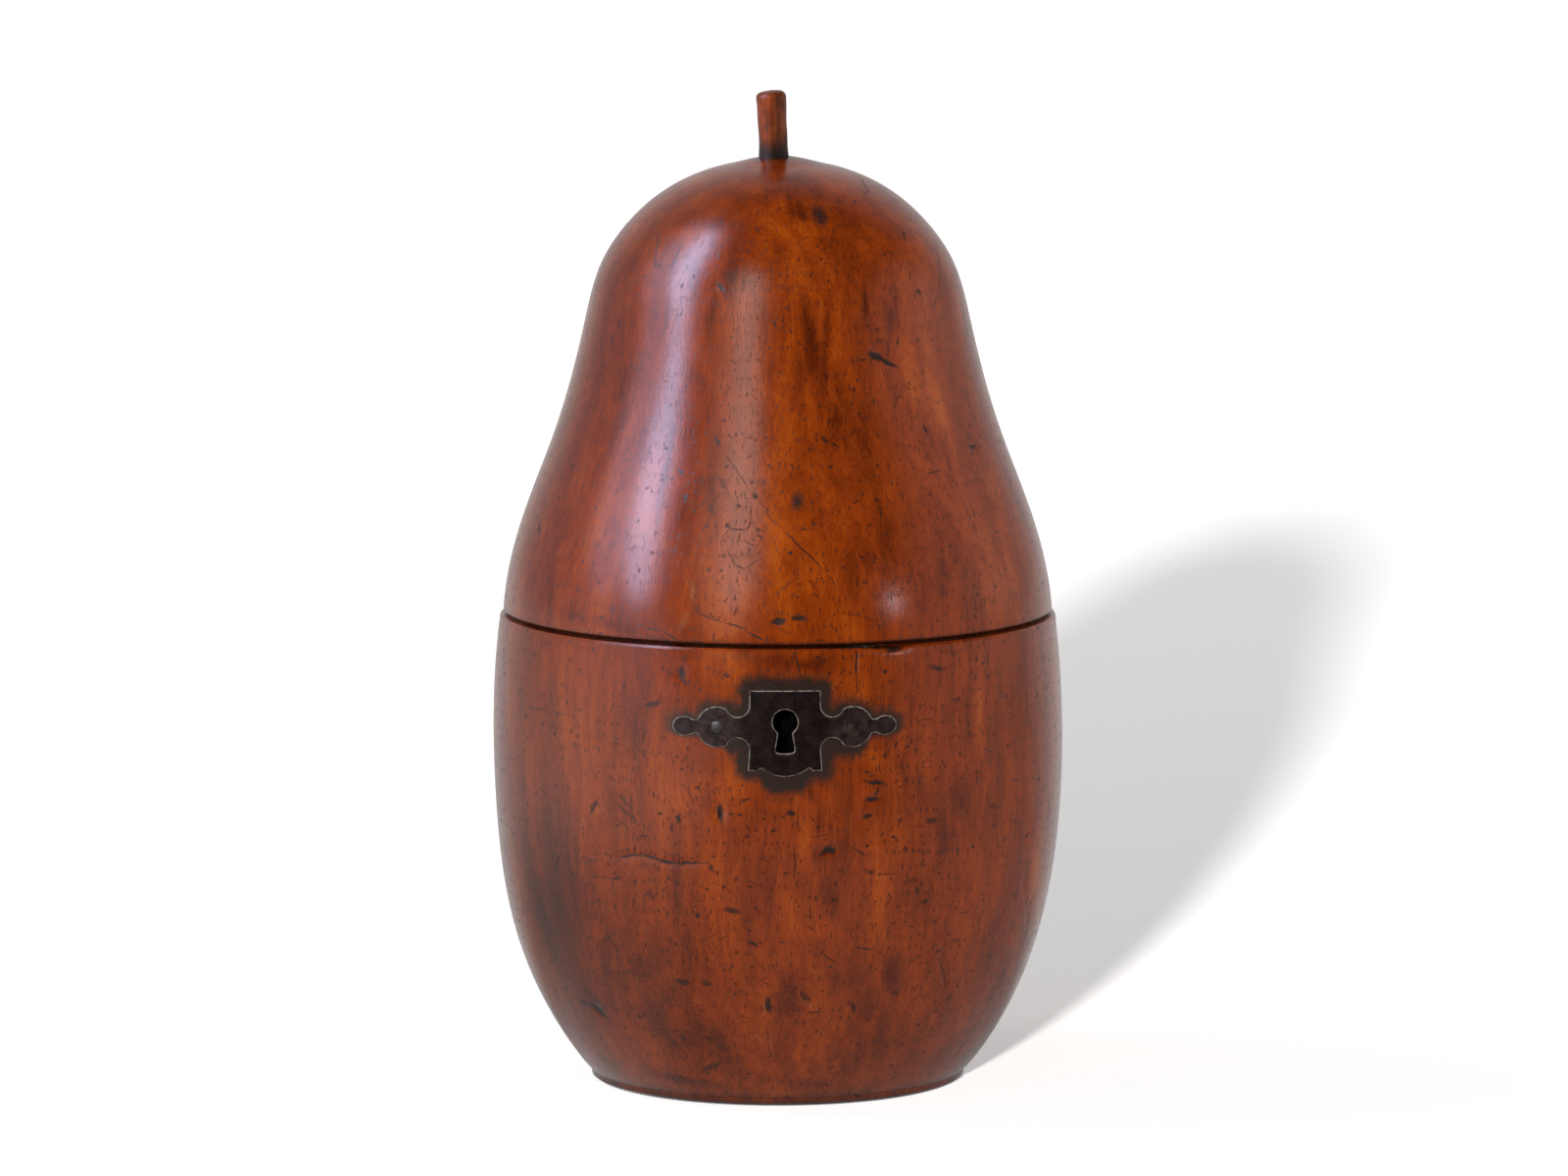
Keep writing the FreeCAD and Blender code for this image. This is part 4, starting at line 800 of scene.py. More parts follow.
        (-7.4, 142.4, -4.8, 142.4, 2.59, 0.3), (58.1, 136.9, 54.4, 127.3, 2.74, 0.6),
        (37.4, 130.1, 36.2, 122.0, 3.11, 0.35), (36.8, 89.7, 38.9, 87.8, 3.15, 0.4),
        (-31.7, 91.2, -32.5, 82.5, 3.38, 0.45), (-11.1, 101.0, -9.4, 83.5, 2.8, 0.35),
        (7.2, 108.9, 8.3, 96.3, 2.59, 0.3),
    ],
    "deep": [
        (5.6, 135.3, 7.6, 124.0, 2.7, 1.05), (21.2, 138.0, 20.3, 133.3, 1.47, 0.75),
        (28.6, 136.2, 25.3, 129.1, 1.96, 0.6), (-16.7, 136.7, -17.7, 130.3, 2.13, 0.55),
        (10.8, 121.5, 12.1, 113.5, 3.27, 0.35), (17.9, 105.4, 17.5, 91.2, 3.6, 0.45),
        (13.6, 96.1, 16.8, 92.8, 2.94, 0.4), (-15.7, 110.3, -17.4, 96.1, 1.64, 0.35),
        (-18.7, 104.7, -18.6, 100.8, 2.29, 0.4), (30.8, 101.5, 27.2, 85.7, 3.27, 0.3),
        (61.0, 101.8, 55.4, 92.5, 1.64, 0.3), (-36.3, 117.3, -41.7, 104.0, 2.62, 0.35),
        (-45.6, 93.9, -44.8, 80.9, 1.96, 0.35), (-35.2, 83.5, -25.0, 82.0, 1.31, 0.4),
        (20.5, 149.0, 30.4, 150.3, 3.27, 0.2), (-15.0, 118.0, -13.5, 103.0, 2.3, 0.32),
        (-13.8, 143.5, -12.8, 137.5, 2.4, 0.55), (9.5, 129.0, 15.5, 114.0, 2.6, 0.5),
        (24.0, 130.0, 26.5, 108.0, 2.6, 0.4), (11.2, 136.0, 8.0, 119.2, 2.05, 0.8),
        (4.3, 132.9, 2.5, 118.5, 2.58, 0.4), (29.7, 139.4, 24.2, 125.1, 3.04, 0.5),
        (17.5, 121.4, 15.4, 102.4, 3.43, 0.35), (29.0, 117.6, 36.9, 109.0, 5.55, 0.35),
        (11.5, 96.2, 10.5, 86.7, 2.24, 0.45), (24.8, 95.5, 24.0, 82.7, 4.77, 0.3),
        (44.3, 113.3, 46.5, 108.2, 3.53, 0.3), (-23.7, 116.4, -23.4, 100.5, 1.38, 0.55),
        (-21.0, 124.5, -18.5, 123.0, 2.71, 0.4), (-23.7, 142.1, -22.9, 135.7, 1.97, 0.4),
        (6.1, 150.7, 7.8, 149.2, 2.96, 0.6), (-3.9, 155.6, 21.7, 155.2, 3.34, 0.35),
        (0.3, 96.4, 0.8, 91.7, 1.84, 0.4), (-41.2, 83.8, -35.2, 83.2, 2.26, 0.4),
        (-28.1, 137.1, -29.5, 129.8, 1.64, 0.5), (-37.7, 127.0, -37.7, 121.3, 2.7, 0.35),
        (3.5, 152.2, 4.3, 148.2, 2.95, 0.6),
    ],
}
bowlMarks = {
    "dark": [
        (-16.6, 76.2, -16.5, 75.2, 0.92, 0.75), (-16.1, 74.6, -15.8, 74.1, 0.59, 0.7),
        (-9.9, 75.3, -9.0, 76.3, 0.39, 0.55), (-13.5, 73.1, -13.4, 72.9, 0.49, 0.45),
        (-22.4, 70.1, -20.2, 70.4, 0.52, 0.7), (-20.7, 70.6, -19.7, 70.6, 0.49, 0.5),
        (-49.2, 65.6, -49.0, 65.1, 0.49, 0.6), (-49.8, 62.7, -49.7, 62.4, 0.36, 0.4),
        (-39.4, 72.0, -39.2, 71.7, 0.29, 0.5), (-49.5, 66.6, -42.4, 67.0, 0.15, 0.6),
        (-42.4, 67.0, -37.5, 66.8, 0.16, 0.5), (-55.6, 74.3, -61.5, 71.8, 0.16, 0.45),
        (-61.5, 71.8, -63.5, 69.5, 0.16, 0.4), (-31.3, 53.3, -33.2, 50.3, 0.49, 0.6),
        (-29.3, 54.5, -24.0, 50.0, 0.18, 0.6), (-27.3, 54.5, -24.8, 52.3, 0.18, 0.6),
        (-24.8, 54.6, -25.0, 52.2, 0.21, 0.5), (-28.8, 51.6, -24.5, 48.0, 0.16, 0.5),
        (-25.9, 52.2, -23.8, 50.3, 0.26, 0.5), (-10.3, 53.6, -10.1, 51.3, 0.69, 0.97),
        (-16.9, 51.6, -16.8, 50.7, 0.52, 0.75), (-18.1, 49.9, -18.0, 49.1, 0.46, 0.5),
        (-23.3, 47.9, -22.4, 47.9, 0.29, 0.6), (-6.8, 54.4, -5.6, 55.1, 0.36, 0.65),
        (-14.6, 54.9, -15.2, 56.2, 0.16, 0.5), (-2.0, 49.6, -1.9, 49.4, 0.43, 0.6),
        (-4.1, 48.3, -4.1, 48.0, 0.49, 0.45), (-36.4, 62.1, -35.7, 62.0, 0.59, 0.4),
        (-28.7, 63.1, -26.9, 63.2, 0.36, 0.4), (-27.8, 43.8, -23.6, 44.6, 0.31, 0.85),
        (-23.6, 44.6, -20.5, 44.0, 0.33, 0.9), (-20.5, 44.0, -17.8, 43.5, 0.36, 0.9),
        (-17.8, 43.5, -13.6, 43.9, 0.33, 0.85), (-13.6, 44.0, -11.9, 44.2, 0.15, 0.6),
        (1.7, 80.1, 2.8, 74.6, 0.16, 0.8), (11.5, 79.9, 11.3, 75.4, 0.28, 0.8),
        (11.3, 75.4, 11.3, 72.6, 0.16, 0.7), (5.8, 79.5, 5.6, 77.2, 0.82, 0.3),
        (16.9, 79.3, 19.1, 79.5, 0.49, 0.9), (14.7, 79.9, 17.2, 79.6, 0.23, 0.8),
        (24.1, 76.1, 26.5, 75.6, 0.65, 0.55), (28.4, 70.1, 29.2, 69.9, 0.56, 0.45),
        (22.4, 67.5, 24.2, 67.3, 0.33, 0.45), (46.4, 67.5, 46.3, 63.5, 0.75, 0.3),
        (55.2, 50.4, 55.9, 46.3, 0.59, 0.35), (12.5, 57.7, 15.6, 57.2, 0.52, 0.75),
        (13.0, 54.6, 14.5, 54.6, 0.69, 0.75), (12.7, 51.7, 13.4, 51.8, 0.52, 0.75),
        (14.8, 56.6, 14.1, 55.2, 0.36, 0.5), (1.4, 40.6, 1.4, 47.6, 0.16, 0.6),
        (1.4, 47.6, 2.4, 54.3, 0.15, 0.5), (0.6, 51.9, 3.6, 48.7, 0.13, 0.5),
        (3.6, 48.7, 7.3, 49.1, 0.13, 0.5), (7.3, 49.1, 7.4, 51.1, 0.13, 0.5),
        (7.4, 51.1, 6.6, 54.9, 0.13, 0.45), (0.6, 52.8, 1.1, 52.5, 0.65, 0.75),
        (-1.9, 49.8, -1.9, 49.4, 0.49, 0.6), (6.7, 46.2, 7.4, 46.1, 0.88, 0.95),
        (5.6, 45.4, 6.3, 45.8, 0.56, 0.6), (23.6, 50.3, 24.8, 50.2, 0.69, 0.7),
        (29.5, 61.4, 29.5, 60.9, 0.43, 0.6), (33.0, 57.0, 33.0, 55.7, 0.25, 0.6),
        (41.1, 55.2, 43.6, 55.3, 0.23, 0.55), (36.2, 51.3, 38.2, 51.1, 0.52, 0.45),
        (29.5, 44.9, 29.5, 44.0, 0.39, 0.6), (32.6, 45.0, 32.7, 44.7, 0.43, 0.6),
        (19.6, 46.0, 19.7, 45.5, 0.59, 0.5), (17.7, 64.0, 17.7, 63.0, 0.26, 0.6),
        (-40.6, 42.8, -42.3, 39.9, 0.43, 0.5), (-34.0, 42.5, -32.0, 42.8, 0.46, 0.4),
        (-34.5, 39.9, -29.8, 39.8, 0.15, 0.6), (-29.8, 39.8, -27.0, 39.7, 0.18, 0.65),
        (-28.4, 40.2, -27.5, 40.3, 0.43, 0.5), (-34.0, 39.2, -34.0, 38.4, 0.39, 0.4),
        (-30.0, 42.5, -29.9, 42.2, 0.36, 0.6), (-36.4, 37.1, -36.4, 36.8, 0.36, 0.45),
        (-32.5, 36.0, -32.5, 35.7, 0.43, 0.5), (-29.2, 35.4, -29.1, 35.0, 0.43, 0.55),
        (-11.9, 43.4, -11.6, 42.7, 0.43, 0.65), (-12.4, 39.6, -12.4, 39.3, 0.36, 0.7),
        (-13.4, 39.7, -13.3, 39.5, 0.26, 0.6), (-9.6, 39.8, -9.5, 39.7, 0.28, 0.6),
        (-22.7, 38.2, -22.1, 37.4, 0.62, 0.35), (-17.5, 37.7, -17.6, 35.5, 0.69, 0.35),
        (-14.3, 35.2, -14.3, 34.5, 0.39, 0.6), (-9.4, 36.0, -7.5, 35.6, 0.69, 0.7),
        (-4.8, 36.5, -4.6, 36.2, 0.49, 0.55), (-5.7, 30.3, -4.6, 29.7, 0.33, 0.75),
        (-19.9, 28.2, -19.9, 28.0, 0.29, 0.5), (-19.0, 22.9, -16.6, 22.7, 0.82, 0.5),
        (-14.0, 22.9, -12.9, 22.8, 0.75, 0.55), (-39.3, 16.3, -37.3, 15.0, 1.05, 0.8),
        (-44.0, 17.3, -39.4, 16.1, 0.59, 0.5), (-2.9, 20.2, -2.6, 18.1, 0.75, 0.75),
        (-28.1, 16.0, -28.3, 15.4, 0.43, 0.5), (-19.8, 12.7, -19.7, 12.3, 0.49, 0.6),
        (-15.0, 12.6, -13.2, 12.7, 0.72, 0.35), (-25.0, 9.6, -24.9, 9.5, 0.36, 0.5),
        (-11.7, 18.0, -11.6, 17.7, 0.26, 0.5), (-16.7, 6.6, -13.1, 8.1, 0.69, 0.6),
        (-46.2, 5.7, -43.6, 6.0, 0.16, 0.5), (-2.9, 6.3, -3.0, 4.3, 0.16, 0.6),
        (13.4, 42.2, 14.1, 41.9, 0.52, 0.7), (15.7, 41.5, 17.7, 41.5, 0.23, 0.5),
        (10.2, 47.1, 12.7, 45.0, 0.18, 0.7), (21.9, 38.7, 22.3, 38.0, 0.59, 0.6),
        (23.2, 36.2, 24.5, 36.6, 0.43, 0.65), (20.7, 40.3, 21.8, 40.2, 0.82, 0.3),
        (31.1, 33.5, 33.0, 33.6, 0.21, 0.55), (44.6, 35.0, 45.4, 34.6, 0.59, 0.4),
        (11.6, 29.2, 14.7, 28.8, 0.23, 0.75), (17.7, 33.1, 17.0, 29.7, 0.15, 0.5),
        (17.0, 29.7, 15.6, 27.7, 0.15, 0.5), (10.5, 33.2, 10.9, 31.0, 0.15, 0.4),
        (5.9, 28.7, 9.4, 26.3, 0.16, 0.65), (5.7, 28.0, 6.6, 29.5, 0.15, 0.5),
        (7.8, 26.1, 7.8, 25.8, 0.36, 0.6), (19.5, 21.0, 20.6, 20.5, 0.65, 0.45),
        (12.4, 19.0, 12.9, 17.7, 0.56, 0.65), (3.1, 21.1, 4.3, 20.1, 0.62, 0.65),
        (4.4, 18.0, 6.9, 17.9, 0.23, 0.55), (28.2, 25.9, 31.5, 20.0, 0.28, 0.5),
        (30.6, 28.9, 31.6, 28.5, 0.56, 0.45), (40.1, 25.0, 41.2, 24.5, 0.46, 0.45),
        (30.1, 16.8, 30.4, 16.4, 0.49, 0.45), (31.0, 9.0, 31.4, 8.5, 0.36, 0.5),
        (24.6, 11.0, 24.9, 10.6, 0.36, 0.5), (30.5, 13.0, 30.8, 12.6, 0.49, 0.35),
        (17.6, 1.4, 19.2, 1.3, 0.36, 0.7), (57.7, 28.1, 57.2, 26.7, 0.26, 0.5),
        (1.7, 33.4, 2.1, 35.8, 0.16, 0.3), (16.7, 36.1, 17.3, 37.4, 0.39, 0.35),
        (6.7, 80.1, 19.8, 80.1, 0.43, 0.85),
    ],
    # pale marks: partly pale scratches and chips, partly painted highlights on worn spots and along the rim's
    # edge
    "pale": [
        (-3.6, 20.0, -3.3, 16.6, 0.18, 0.7), (-5.6, 13.9, -3.8, 12.6, 0.2, 0.6),
        (-2.6, 15.0, -2.3, 10.2, 0.16, 0.5), (4.1, 20.5, 5.5, 18.0, 0.18, 0.5),
        (2.2, 21.6, 3.3, 19.8, 0.15, 0.5), (14.6, 80.0, 17.2, 79.9, 0.15, 0.9),
        (11.8, 79.6, 11.7, 75.4, 0.13, 0.6), (-10.8, 53.6, -10.7, 51.1, 0.15, 0.6),
        (-17.8, 19.7, -11.5, 18.9, 0.13, 0.2), (-34.4, 20.6, -34.4, 20.5, 0.18, 0.7),
        (-43.6, 79.8, -23.1, 80.5, 0.16, 0.35),
    ],
    "light": [
        (12.0, 63.9, 16.1, 58.7, 2.62, 0.7), (-9.5, 79.1, -6.1, 74.0, 2.94, 0.7),
        (-6.3, 59.2, -10.2, 52.4, 4.25, 0.55), (-10.2, 49.1, -11.9, 30.5, 2.13, 0.5),
        (2.8, 47.6, 4.4, 42.5, 2.29, 0.4), (15.4, 45.4, 16.6, 36.9, 2.29, 0.45),
        (-15.7, 57.2, -17.3, 52.1, 3.6, 0.35), (6.9, 34.0, 7.9, 30.5, 2.62, 0.3),
        (12.1, 70.4, 12.8, 73.7, 1.64, 0.6), (-4.0, 16.6, -4.0, 7.4, 1.14, 0.35),
        (5.7, 11.1, 10.8, 5.2, 2.62, 0.25), (-36.6, 57.0, -35.7, 50.5, 1.64, 0.3),
        (20.3, 63.4, 22.6, 39.8, 1.96, 0.3), (33.9, 73.7, 33.6, 62.1, 2.4, 0.4),
        (14.0, 52.0, 15.5, 34.0, 2.1, 0.5), (-9.0, 46.0, -9.5, 26.0, 2.4, 0.35),
        (-12.8, 59.0, -13.2, 54.8, 1.67, 0.7), (-26.7, 58.9, -26.2, 56.4, 2.87, 0.45),
        (12.8, 58.0, 12.1, 54.8, 2.33, 0.55), (16.9, 53.7, 19.8, 41.8, 3.07, 0.5),
        (30.8, 45.7, 33.6, 38.7, 3.76, 0.5), (-7.9, 45.9, -8.1, 37.4, 1.65, 0.35),
        (7.1, 29.7, 9.0, 25.3, 1.98, 0.35), (14.7, 15.2, 17.3, 12.4, 2.36, 0.4),
        (49.1, 46.7, 54.4, 30.5, 3.41, 0.7), (47.2, 28.3, 51.7, 18.9, 2.91, 0.5),
        (16.1, 67.8, 16.6, 66.1, 1.35, 0.6), (-56.6, 72.7, -55.9, 59.4, 2.44, 0.5),
        (-12.3, 77.1, -12.6, 75.4, 1.67, 0.5), (20.3, 66.7, 17.7, 61.9, 1.71, 0.4),
        (52.6, 42.7, 57.9, 24.8, 2.92, 0.7), (16.1, 61.2, 17.7, 56.9, 2.03, 0.45),
    ],
    "deep": [
        (-43.0, 74.5, -41.3, 61.5, 2.29, 0.35), (-42.7, 54.6, -41.0, 41.4, 4.6, 0.3),
        (-25.9, 73.0, -24.0, 63.3, 2.29, 0.3), (11.7, 23.4, 19.4, 12.2, 5.56, 0.35),
        (25.7, 51.3, 32.5, 38.8, 4.25, 0.4), (20.3, 58.4, 25.7, 51.3, 2.94, 0.35),
        (-20.1, 30.0, -29.5, 20.5, 5.56, 0.4), (-18.4, 16.1, -11.9, 9.1, 4.91, 0.4),
        (5.9, 40.8, 7.6, 35.7, 2.29, 0.5), (-0.2, 30.7, 9.7, 27.0, 2.94, 0.25),
        (41.4, 30.8, 40.7, 18.8, 3.92, 0.35), (-4.1, 5.5, 13.7, 3.5, 1.31, 0.35),
        (-34.5, 5.5, -8.8, 3.0, 1.31, 0.45), (-6.4, 44.2, -5.0, 30.7, 2.29, 0.25),
        (6.6, 57.5, -0.3, 56.6, 1.47, 0.35), (-41.0, 48.0, -43.0, 18.0, 9.0, 0.7),
        (0.0, 49.0, 3.5, 37.0, 4.0, 0.38), (-30.0, 38.0, -34.0, 16.0, 5.0, 0.45),
        (-52.0, 55.0, -54.0, 28.0, 5.0, 0.35), (-20.0, 22.0, -14.0, 10.0, 4.0, 0.4),
        (-50.2, 44.9, -46.4, 20.0, 5.0, 1.0), (-33.8, 45.7, -36.6, 23.1, 3.88, 0.45),
        (-26.9, 34.6, -31.4, 14.9, 4.76, 0.4), (-17.4, 48.8, -18.1, 31.9, 2.72, 0.5),
        (-25.2, 20.9, -23.5, 12.1, 5.3, 0.5), (-15.6, 10.8, -17.7, 6.9, 2.37, 0.35),
        (-3.3, 44.3, -1.0, 30.7, 2.94, 0.35), (5.1, 47.5, 4.7, 42.5, 1.97, 0.7),
        (1.5, 23.7, 0.8, 14.8, 3.92, 0.5), (5.9, 9.2, 5.9, 6.4, 1.97, 0.4),
        (18.6, 25.6, 20.3, 21.1, 3.43, 0.6), (29.7, 24.5, 33.8, 16.2, 3.75, 0.4),
        (29.5, 55.9, 29.2, 50.9, 3.3, 0.6), (30.7, 72.3, 30.5, 62.4, 2.22, 0.35),
        (5.1, 52.5, 5.9, 49.2, 2.3, 0.4), (-37.9, 71.8, -36.7, 67.0, 1.99, 0.25),
        (-1.8, 77.9, 7.5, 77.1, 1.96, 0.6), (-41.5, 20.8, -35.7, 13.6, 3.24, 0.6),
        (-16.0, 40.5, -16.6, 21.5, 3.04, 0.45), (-30.8, 34.2, -32.4, 21.9, 4.12, 0.55),
        (3.5, 57.5, 4.3, 55.0, 1.64, 0.6),
    ],
}


# Node tools
def feed(tree, socket, value):
    if isinstance(value, bpy.types.NodeSocket):
        tree.links.new(value, socket)
    else:
        socket.default_value = value


def calc(tree, kind, a, b=0.0, c=0.0):
    node = tree.nodes.new("ShaderNodeMath")
    node.operation = kind
    for socket, value in zip(node.inputs, (a, b, c)):
        feed(tree, socket, value)
    return node.outputs[0]


def vector(tree, kind, a, b=(0, 0, 0), scale=1.0):
    node = tree.nodes.new("ShaderNodeVectorMath")
    node.operation = kind
    feed(tree, node.inputs[0], a)
    if kind == "SCALE":
        feed(tree, node.inputs["Scale"], scale)
    else:
        feed(tree, node.inputs[1], b)
    return node.outputs["Value" if kind in ("DOT_PRODUCT", "DISTANCE", "LENGTH") else "Vector"]


def noise(tree, at, scale=1.0, detail=2.0, rough=0.5, out="Fac"):
    node = tree.nodes.new("ShaderNodeTexNoise")
    feed(tree, node.inputs["Vector"], at)
    node.inputs["Scale"].default_value = scale
    node.inputs["Detail"].default_value = detail
    node.inputs["Roughness"].default_value = rough
    return node.outputs[out]


def ranged(tree, value, low, high, toLow=0.0, toHigh=1.0):
    node = tree.nodes.new("ShaderNodeMapRange")
    node.interpolation_type = "SMOOTHSTEP"
    for socket, given in zip(node.inputs[:5], (value, low, high, toLow, toHigh)):
        feed(tree, socket, given)
    return node.outputs[0]


def mixed(tree, factor, a, b, kind="MIX"):
    node = tree.nodes.new("ShaderNodeMix")
    node.data_type, node.blend_type = "RGBA", kind
    for index, given in ((0, factor), (6, a), (7, b)):
        feed(tree, node.inputs[index], given)
    return node.outputs[2]


def ramp(tree, value, stops):
    node = tree.nodes.new("ShaderNodeValToRGB")
    feed(tree, node.inputs[0], value)
    while len(node.color_ramp.elements) < len(stops):
        node.color_ramp.elements.new(0.5)
    for element, (spot, colour) in zip(node.color_ramp.elements, stops):
        element.position, element.color = spot, (*colour, 1)
    return node.outputs[0]


def newGroup(name, inputs, outputs):
    group = bpy.data.node_groups.new(name, "ShaderNodeTree")
    for way, rows in (("INPUT", inputs), ("OUTPUT", outputs)):
        for label, kind in rows:
            group.interface.new_socket(label, in_out=way, socket_type="NodeSocket" + kind)
    return group, group.nodes.new("NodeGroupInput").outputs, group.nodes.new("NodeGroupOutput").inputs


def useGroup(tree, group, **given):
    node = tree.nodes.new("ShaderNodeGroup")
    node.node_tree = group
    for label, value in given.items():
        feed(tree, node.inputs[label], value)
    return node.outputs


def stretched(tree, at, across, along):
    return vector(tree, "MULTIPLY", at, (across, across, along))


def parted(tree, at):
    node = tree.nodes.new("ShaderNodeSeparateXYZ")
    feed(tree, node.inputs[0], at)
    return node.outputs


def stored(tree, name):
    # a value kept with the points of the mesh
    node = tree.nodes.new("ShaderNodeAttribute")
    node.attribute_name = name
    return node.outputs["Fac"]


# Place on the turned surface in millimetres: along the arc at a fixed radius, and height.
# Blot is the same place shaken for ragged stains, Line only bent a little for scratches
placeGroup, given, result = newGroup(
    "surfacePlace", [("Object", "Vector")],
    [("Spot", "Vector"), ("Blot", "Vector"), ("Line", "Vector"), ("Up", "Float")])
spot = vector(placeGroup, "SCALE", given[0], scale=1 / mm)
split = parted(placeGroup, spot)
turn = calc(placeGroup, "ARCTAN2", split[0], calc(placeGroup, "MULTIPLY", split[1], -1))
flat = placeGroup.nodes.new("ShaderNodeCombineXYZ")
feed(placeGroup, flat.inputs[0], calc(placeGroup, "MULTIPLY", turn, arcRadius))
feed(placeGroup, flat.inputs[1], split[2])


def shaken(scale, detail, rough, amount):
    wobble = noise(placeGroup, spot, scale, detail, rough, "Color")
    wobble = vector(placeGroup, "SUBTRACT", wobble, (0.5, 0.5, 0.5))
    wobble = vector(placeGroup, "MULTIPLY", wobble, (amount, amount, 0))
    return vector(placeGroup, "ADD", flat.outputs[0], wobble)


places = (spot, shaken(0.8, 5, 0.7, 1.5), shaken(0.22, 3, 0.5, 1.6), split[2])
for socket, value in zip(result, places):
    feed(placeGroup, socket, value)


def limited(tree, value):
    # a node of its own: a clamped sum would be worked out last and fill the renderer's stack
    node = tree.nodes.new("ShaderNodeClamp")
    feed(tree, node.inputs[0], value)
    return node.outputs[0]


def turnedTo(tree, at, angle, across, along):
    # place measured along and across a direction, in units of two lengths; made of plain vector sums,
    # as a Mapping node would also be worked out late
    c, s = np.cos(angle), np.sin(angle)
    first = vector(tree, "DOT_PRODUCT", at, (c / across, s / across, 0))
    second = vector(tree, "DOT_PRODUCT", at, (-s / along, c / along, 0))
    both = tree.nodes.new("ShaderNodeCombineXYZ")
    feed(tree, both.inputs[0], first)
    feed(tree, both.inputs[1], second)
    return both.outputs[0]


def markGroup(name, rows, peak, levels, thin=0.29, reach=0.12):
    # highest of all the marks; each is an ellipse that falls off from its middle to its edge.
    # Marks of about the same strength share a level, so that each has an even middle and a firm edge
    group, given, result = newGroup(name, [("Blot", "Vector"), ("Line", "Vector")], [("Mask", "Float")])
    total = None
    for low, high, level in levels:
        mask = None
        for x1, z1, x2, z2, half, strength in rows:
            if not low <= strength < high:
                continue
            long, at = np.hypot(x2 - x1, z2 - z1), given[1 if half < thin else 0]
            middle, gain = ((x1 + x2) / 2, (z1 + z2) / 2, 0), peak * strength / level
            if long < 0.4:
                gap, fall = vector(group, "DISTANCE", at, middle), gain / half
            else:
                oval = turnedTo(group, vector(group, "SUBTRACT", at, middle), np.arctan2(z2 - z1, x2 - x1),
                                long * (0.5 + reach) + half, half)
                gap, fall = vector(group, "LENGTH", oval), gain
            height = calc(group, "MULTIPLY_ADD", gap, -fall, gain)
            mask = calc(group, "MAXIMUM", height, 0.0 if mask is None else mask)
        if mask is not None:
            mask = calc(group, "MULTIPLY", calc(group, "MINIMUM", mask, 1.3), level)
            total = mask if total is None else calc(group, "MAXIMUM", mask, total)
    feed(group, result[0], total)
    return group


# Small flecks all over: one kind of cell each, turned and stretched on the surface, some cells left out
def fleckGroup(name, rows):
    group, given, result = newGroup(name, [("Line", "Vector")], [("Mask", "Float")])
    places = group.nodes.new("ShaderNodeSeparateColor")
    feed(group, places.inputs[0], noise(group, given[0], 0.07, 3, 0.6, "Color"))
    mask = None
    for turnBy, across, along, small, large, share, strength, lot in rows:
        grid = turnedTo(group, given[0], np.radians(turnBy), across, along)
        cells = group.nodes.new("ShaderNodeTexVoronoi")
        cells.voronoi_dimensions = "2D"
        feed(group, cells.inputs["Vector"], grid)
        cells.inputs["Scale"].default_value = 1.0
        pick = group.nodes.new("ShaderNodeSeparateColor")
        feed(group, pick.inputs[0], cells.outputs["Color"])
        size = calc(group, "MULTIPLY_ADD", pick.outputs[0], large - small, small)
        fleck = calc(group, "SUBTRACT", 1.0, calc(group, "DIVIDE", cells.outputs["Distance"], size))
        fleck = ranged(group, fleck, 0.0, 0.55, 0.0, strength)
        kept = ranged(group, pick.outputs[1], 1 - share, 1.1 - share)
        where = ranged(group, places.outputs[lot], 0.32, 0.60, 0.22, 1.0)
        fleck = calc(group, "MULTIPLY", fleck, calc(group, "MULTIPLY", kept, where))
        mask = fleck if mask is None else calc(group, "MAXIMUM", fleck, mask)
    feed(group, result[0], mask)
    return group


# turn, cell width and height, smallest and largest size in cells, share kept, strength, which noise
fleckRows = [
    (0, 0.6, 2.4, 0.15, 0.32, 0.52, 0.72, 0), (4, 1.0, 5.2, 0.08, 0.18, 0.48, 0.65, 1),
    (0, 2.7, 2.4, 0.06, 0.155, 0.60, 0.80, 2), (20, 6.0, 4.4, 0.03, 0.11, 0.50, 0.85, 0),
    (62, 1.2, 13.0, 0.06, 0.13, 0.30, 0.70, 1), (-48, 1.4, 15.0, 0.05, 0.11, 0.28, 0.70, 2),
    (86, 1.3, 9.0, 0.06, 0.13, 0.25, 0.65, 0), (-15, 1.6, 3.2, 0.09, 0.22, 0.30, 0.70, 1),
]
fleckMarks = fleckGroup("woodFlecks", fleckRows)

# Grain of the wood: fine lines, narrow and wide streaks along the height, a little mottling.
# Each streak has its rates across and along, its detail and roughness, then its share of the tone
grainLook = {
    "bend": 0.045, "sway": (6.0, 6.0, 0), "cloud": 0.22, "cloudShare": 0.20, "mediumReach": (0.30, 0.70),
    "line": (4.2, 0.08, 3, 0.6, 0.34), "fine": (1.4, 0.035, 3, 0.6, 0.34),
    "medium": (0.32, 0.016, 3, 0.5, 0.13), "broad": (0.10, 0.022, 2, 0.5, 0.40),
}
grainGroup, given, result = newGroup(
    "woodGrain", [("Spot", "Vector")], [("Tone", "Float"), ("Height", "Float")])
bent = noise(grainGroup, given[0], grainLook["bend"], 2, 0.5, "Color")
bent = vector(grainGroup, "SUBTRACT", bent, (0.5, 0.5, 0.5))
bent = vector(grainGroup, "ADD", given[0], vector(grainGroup, "MULTIPLY", bent, grainLook["sway"]))


def streak(kind):
    across, along, detail, rough, share = grainLook[kind]
    return noise(grainGroup, stretched(grainGroup, bent, across, along), 1.0, detail, rough), share


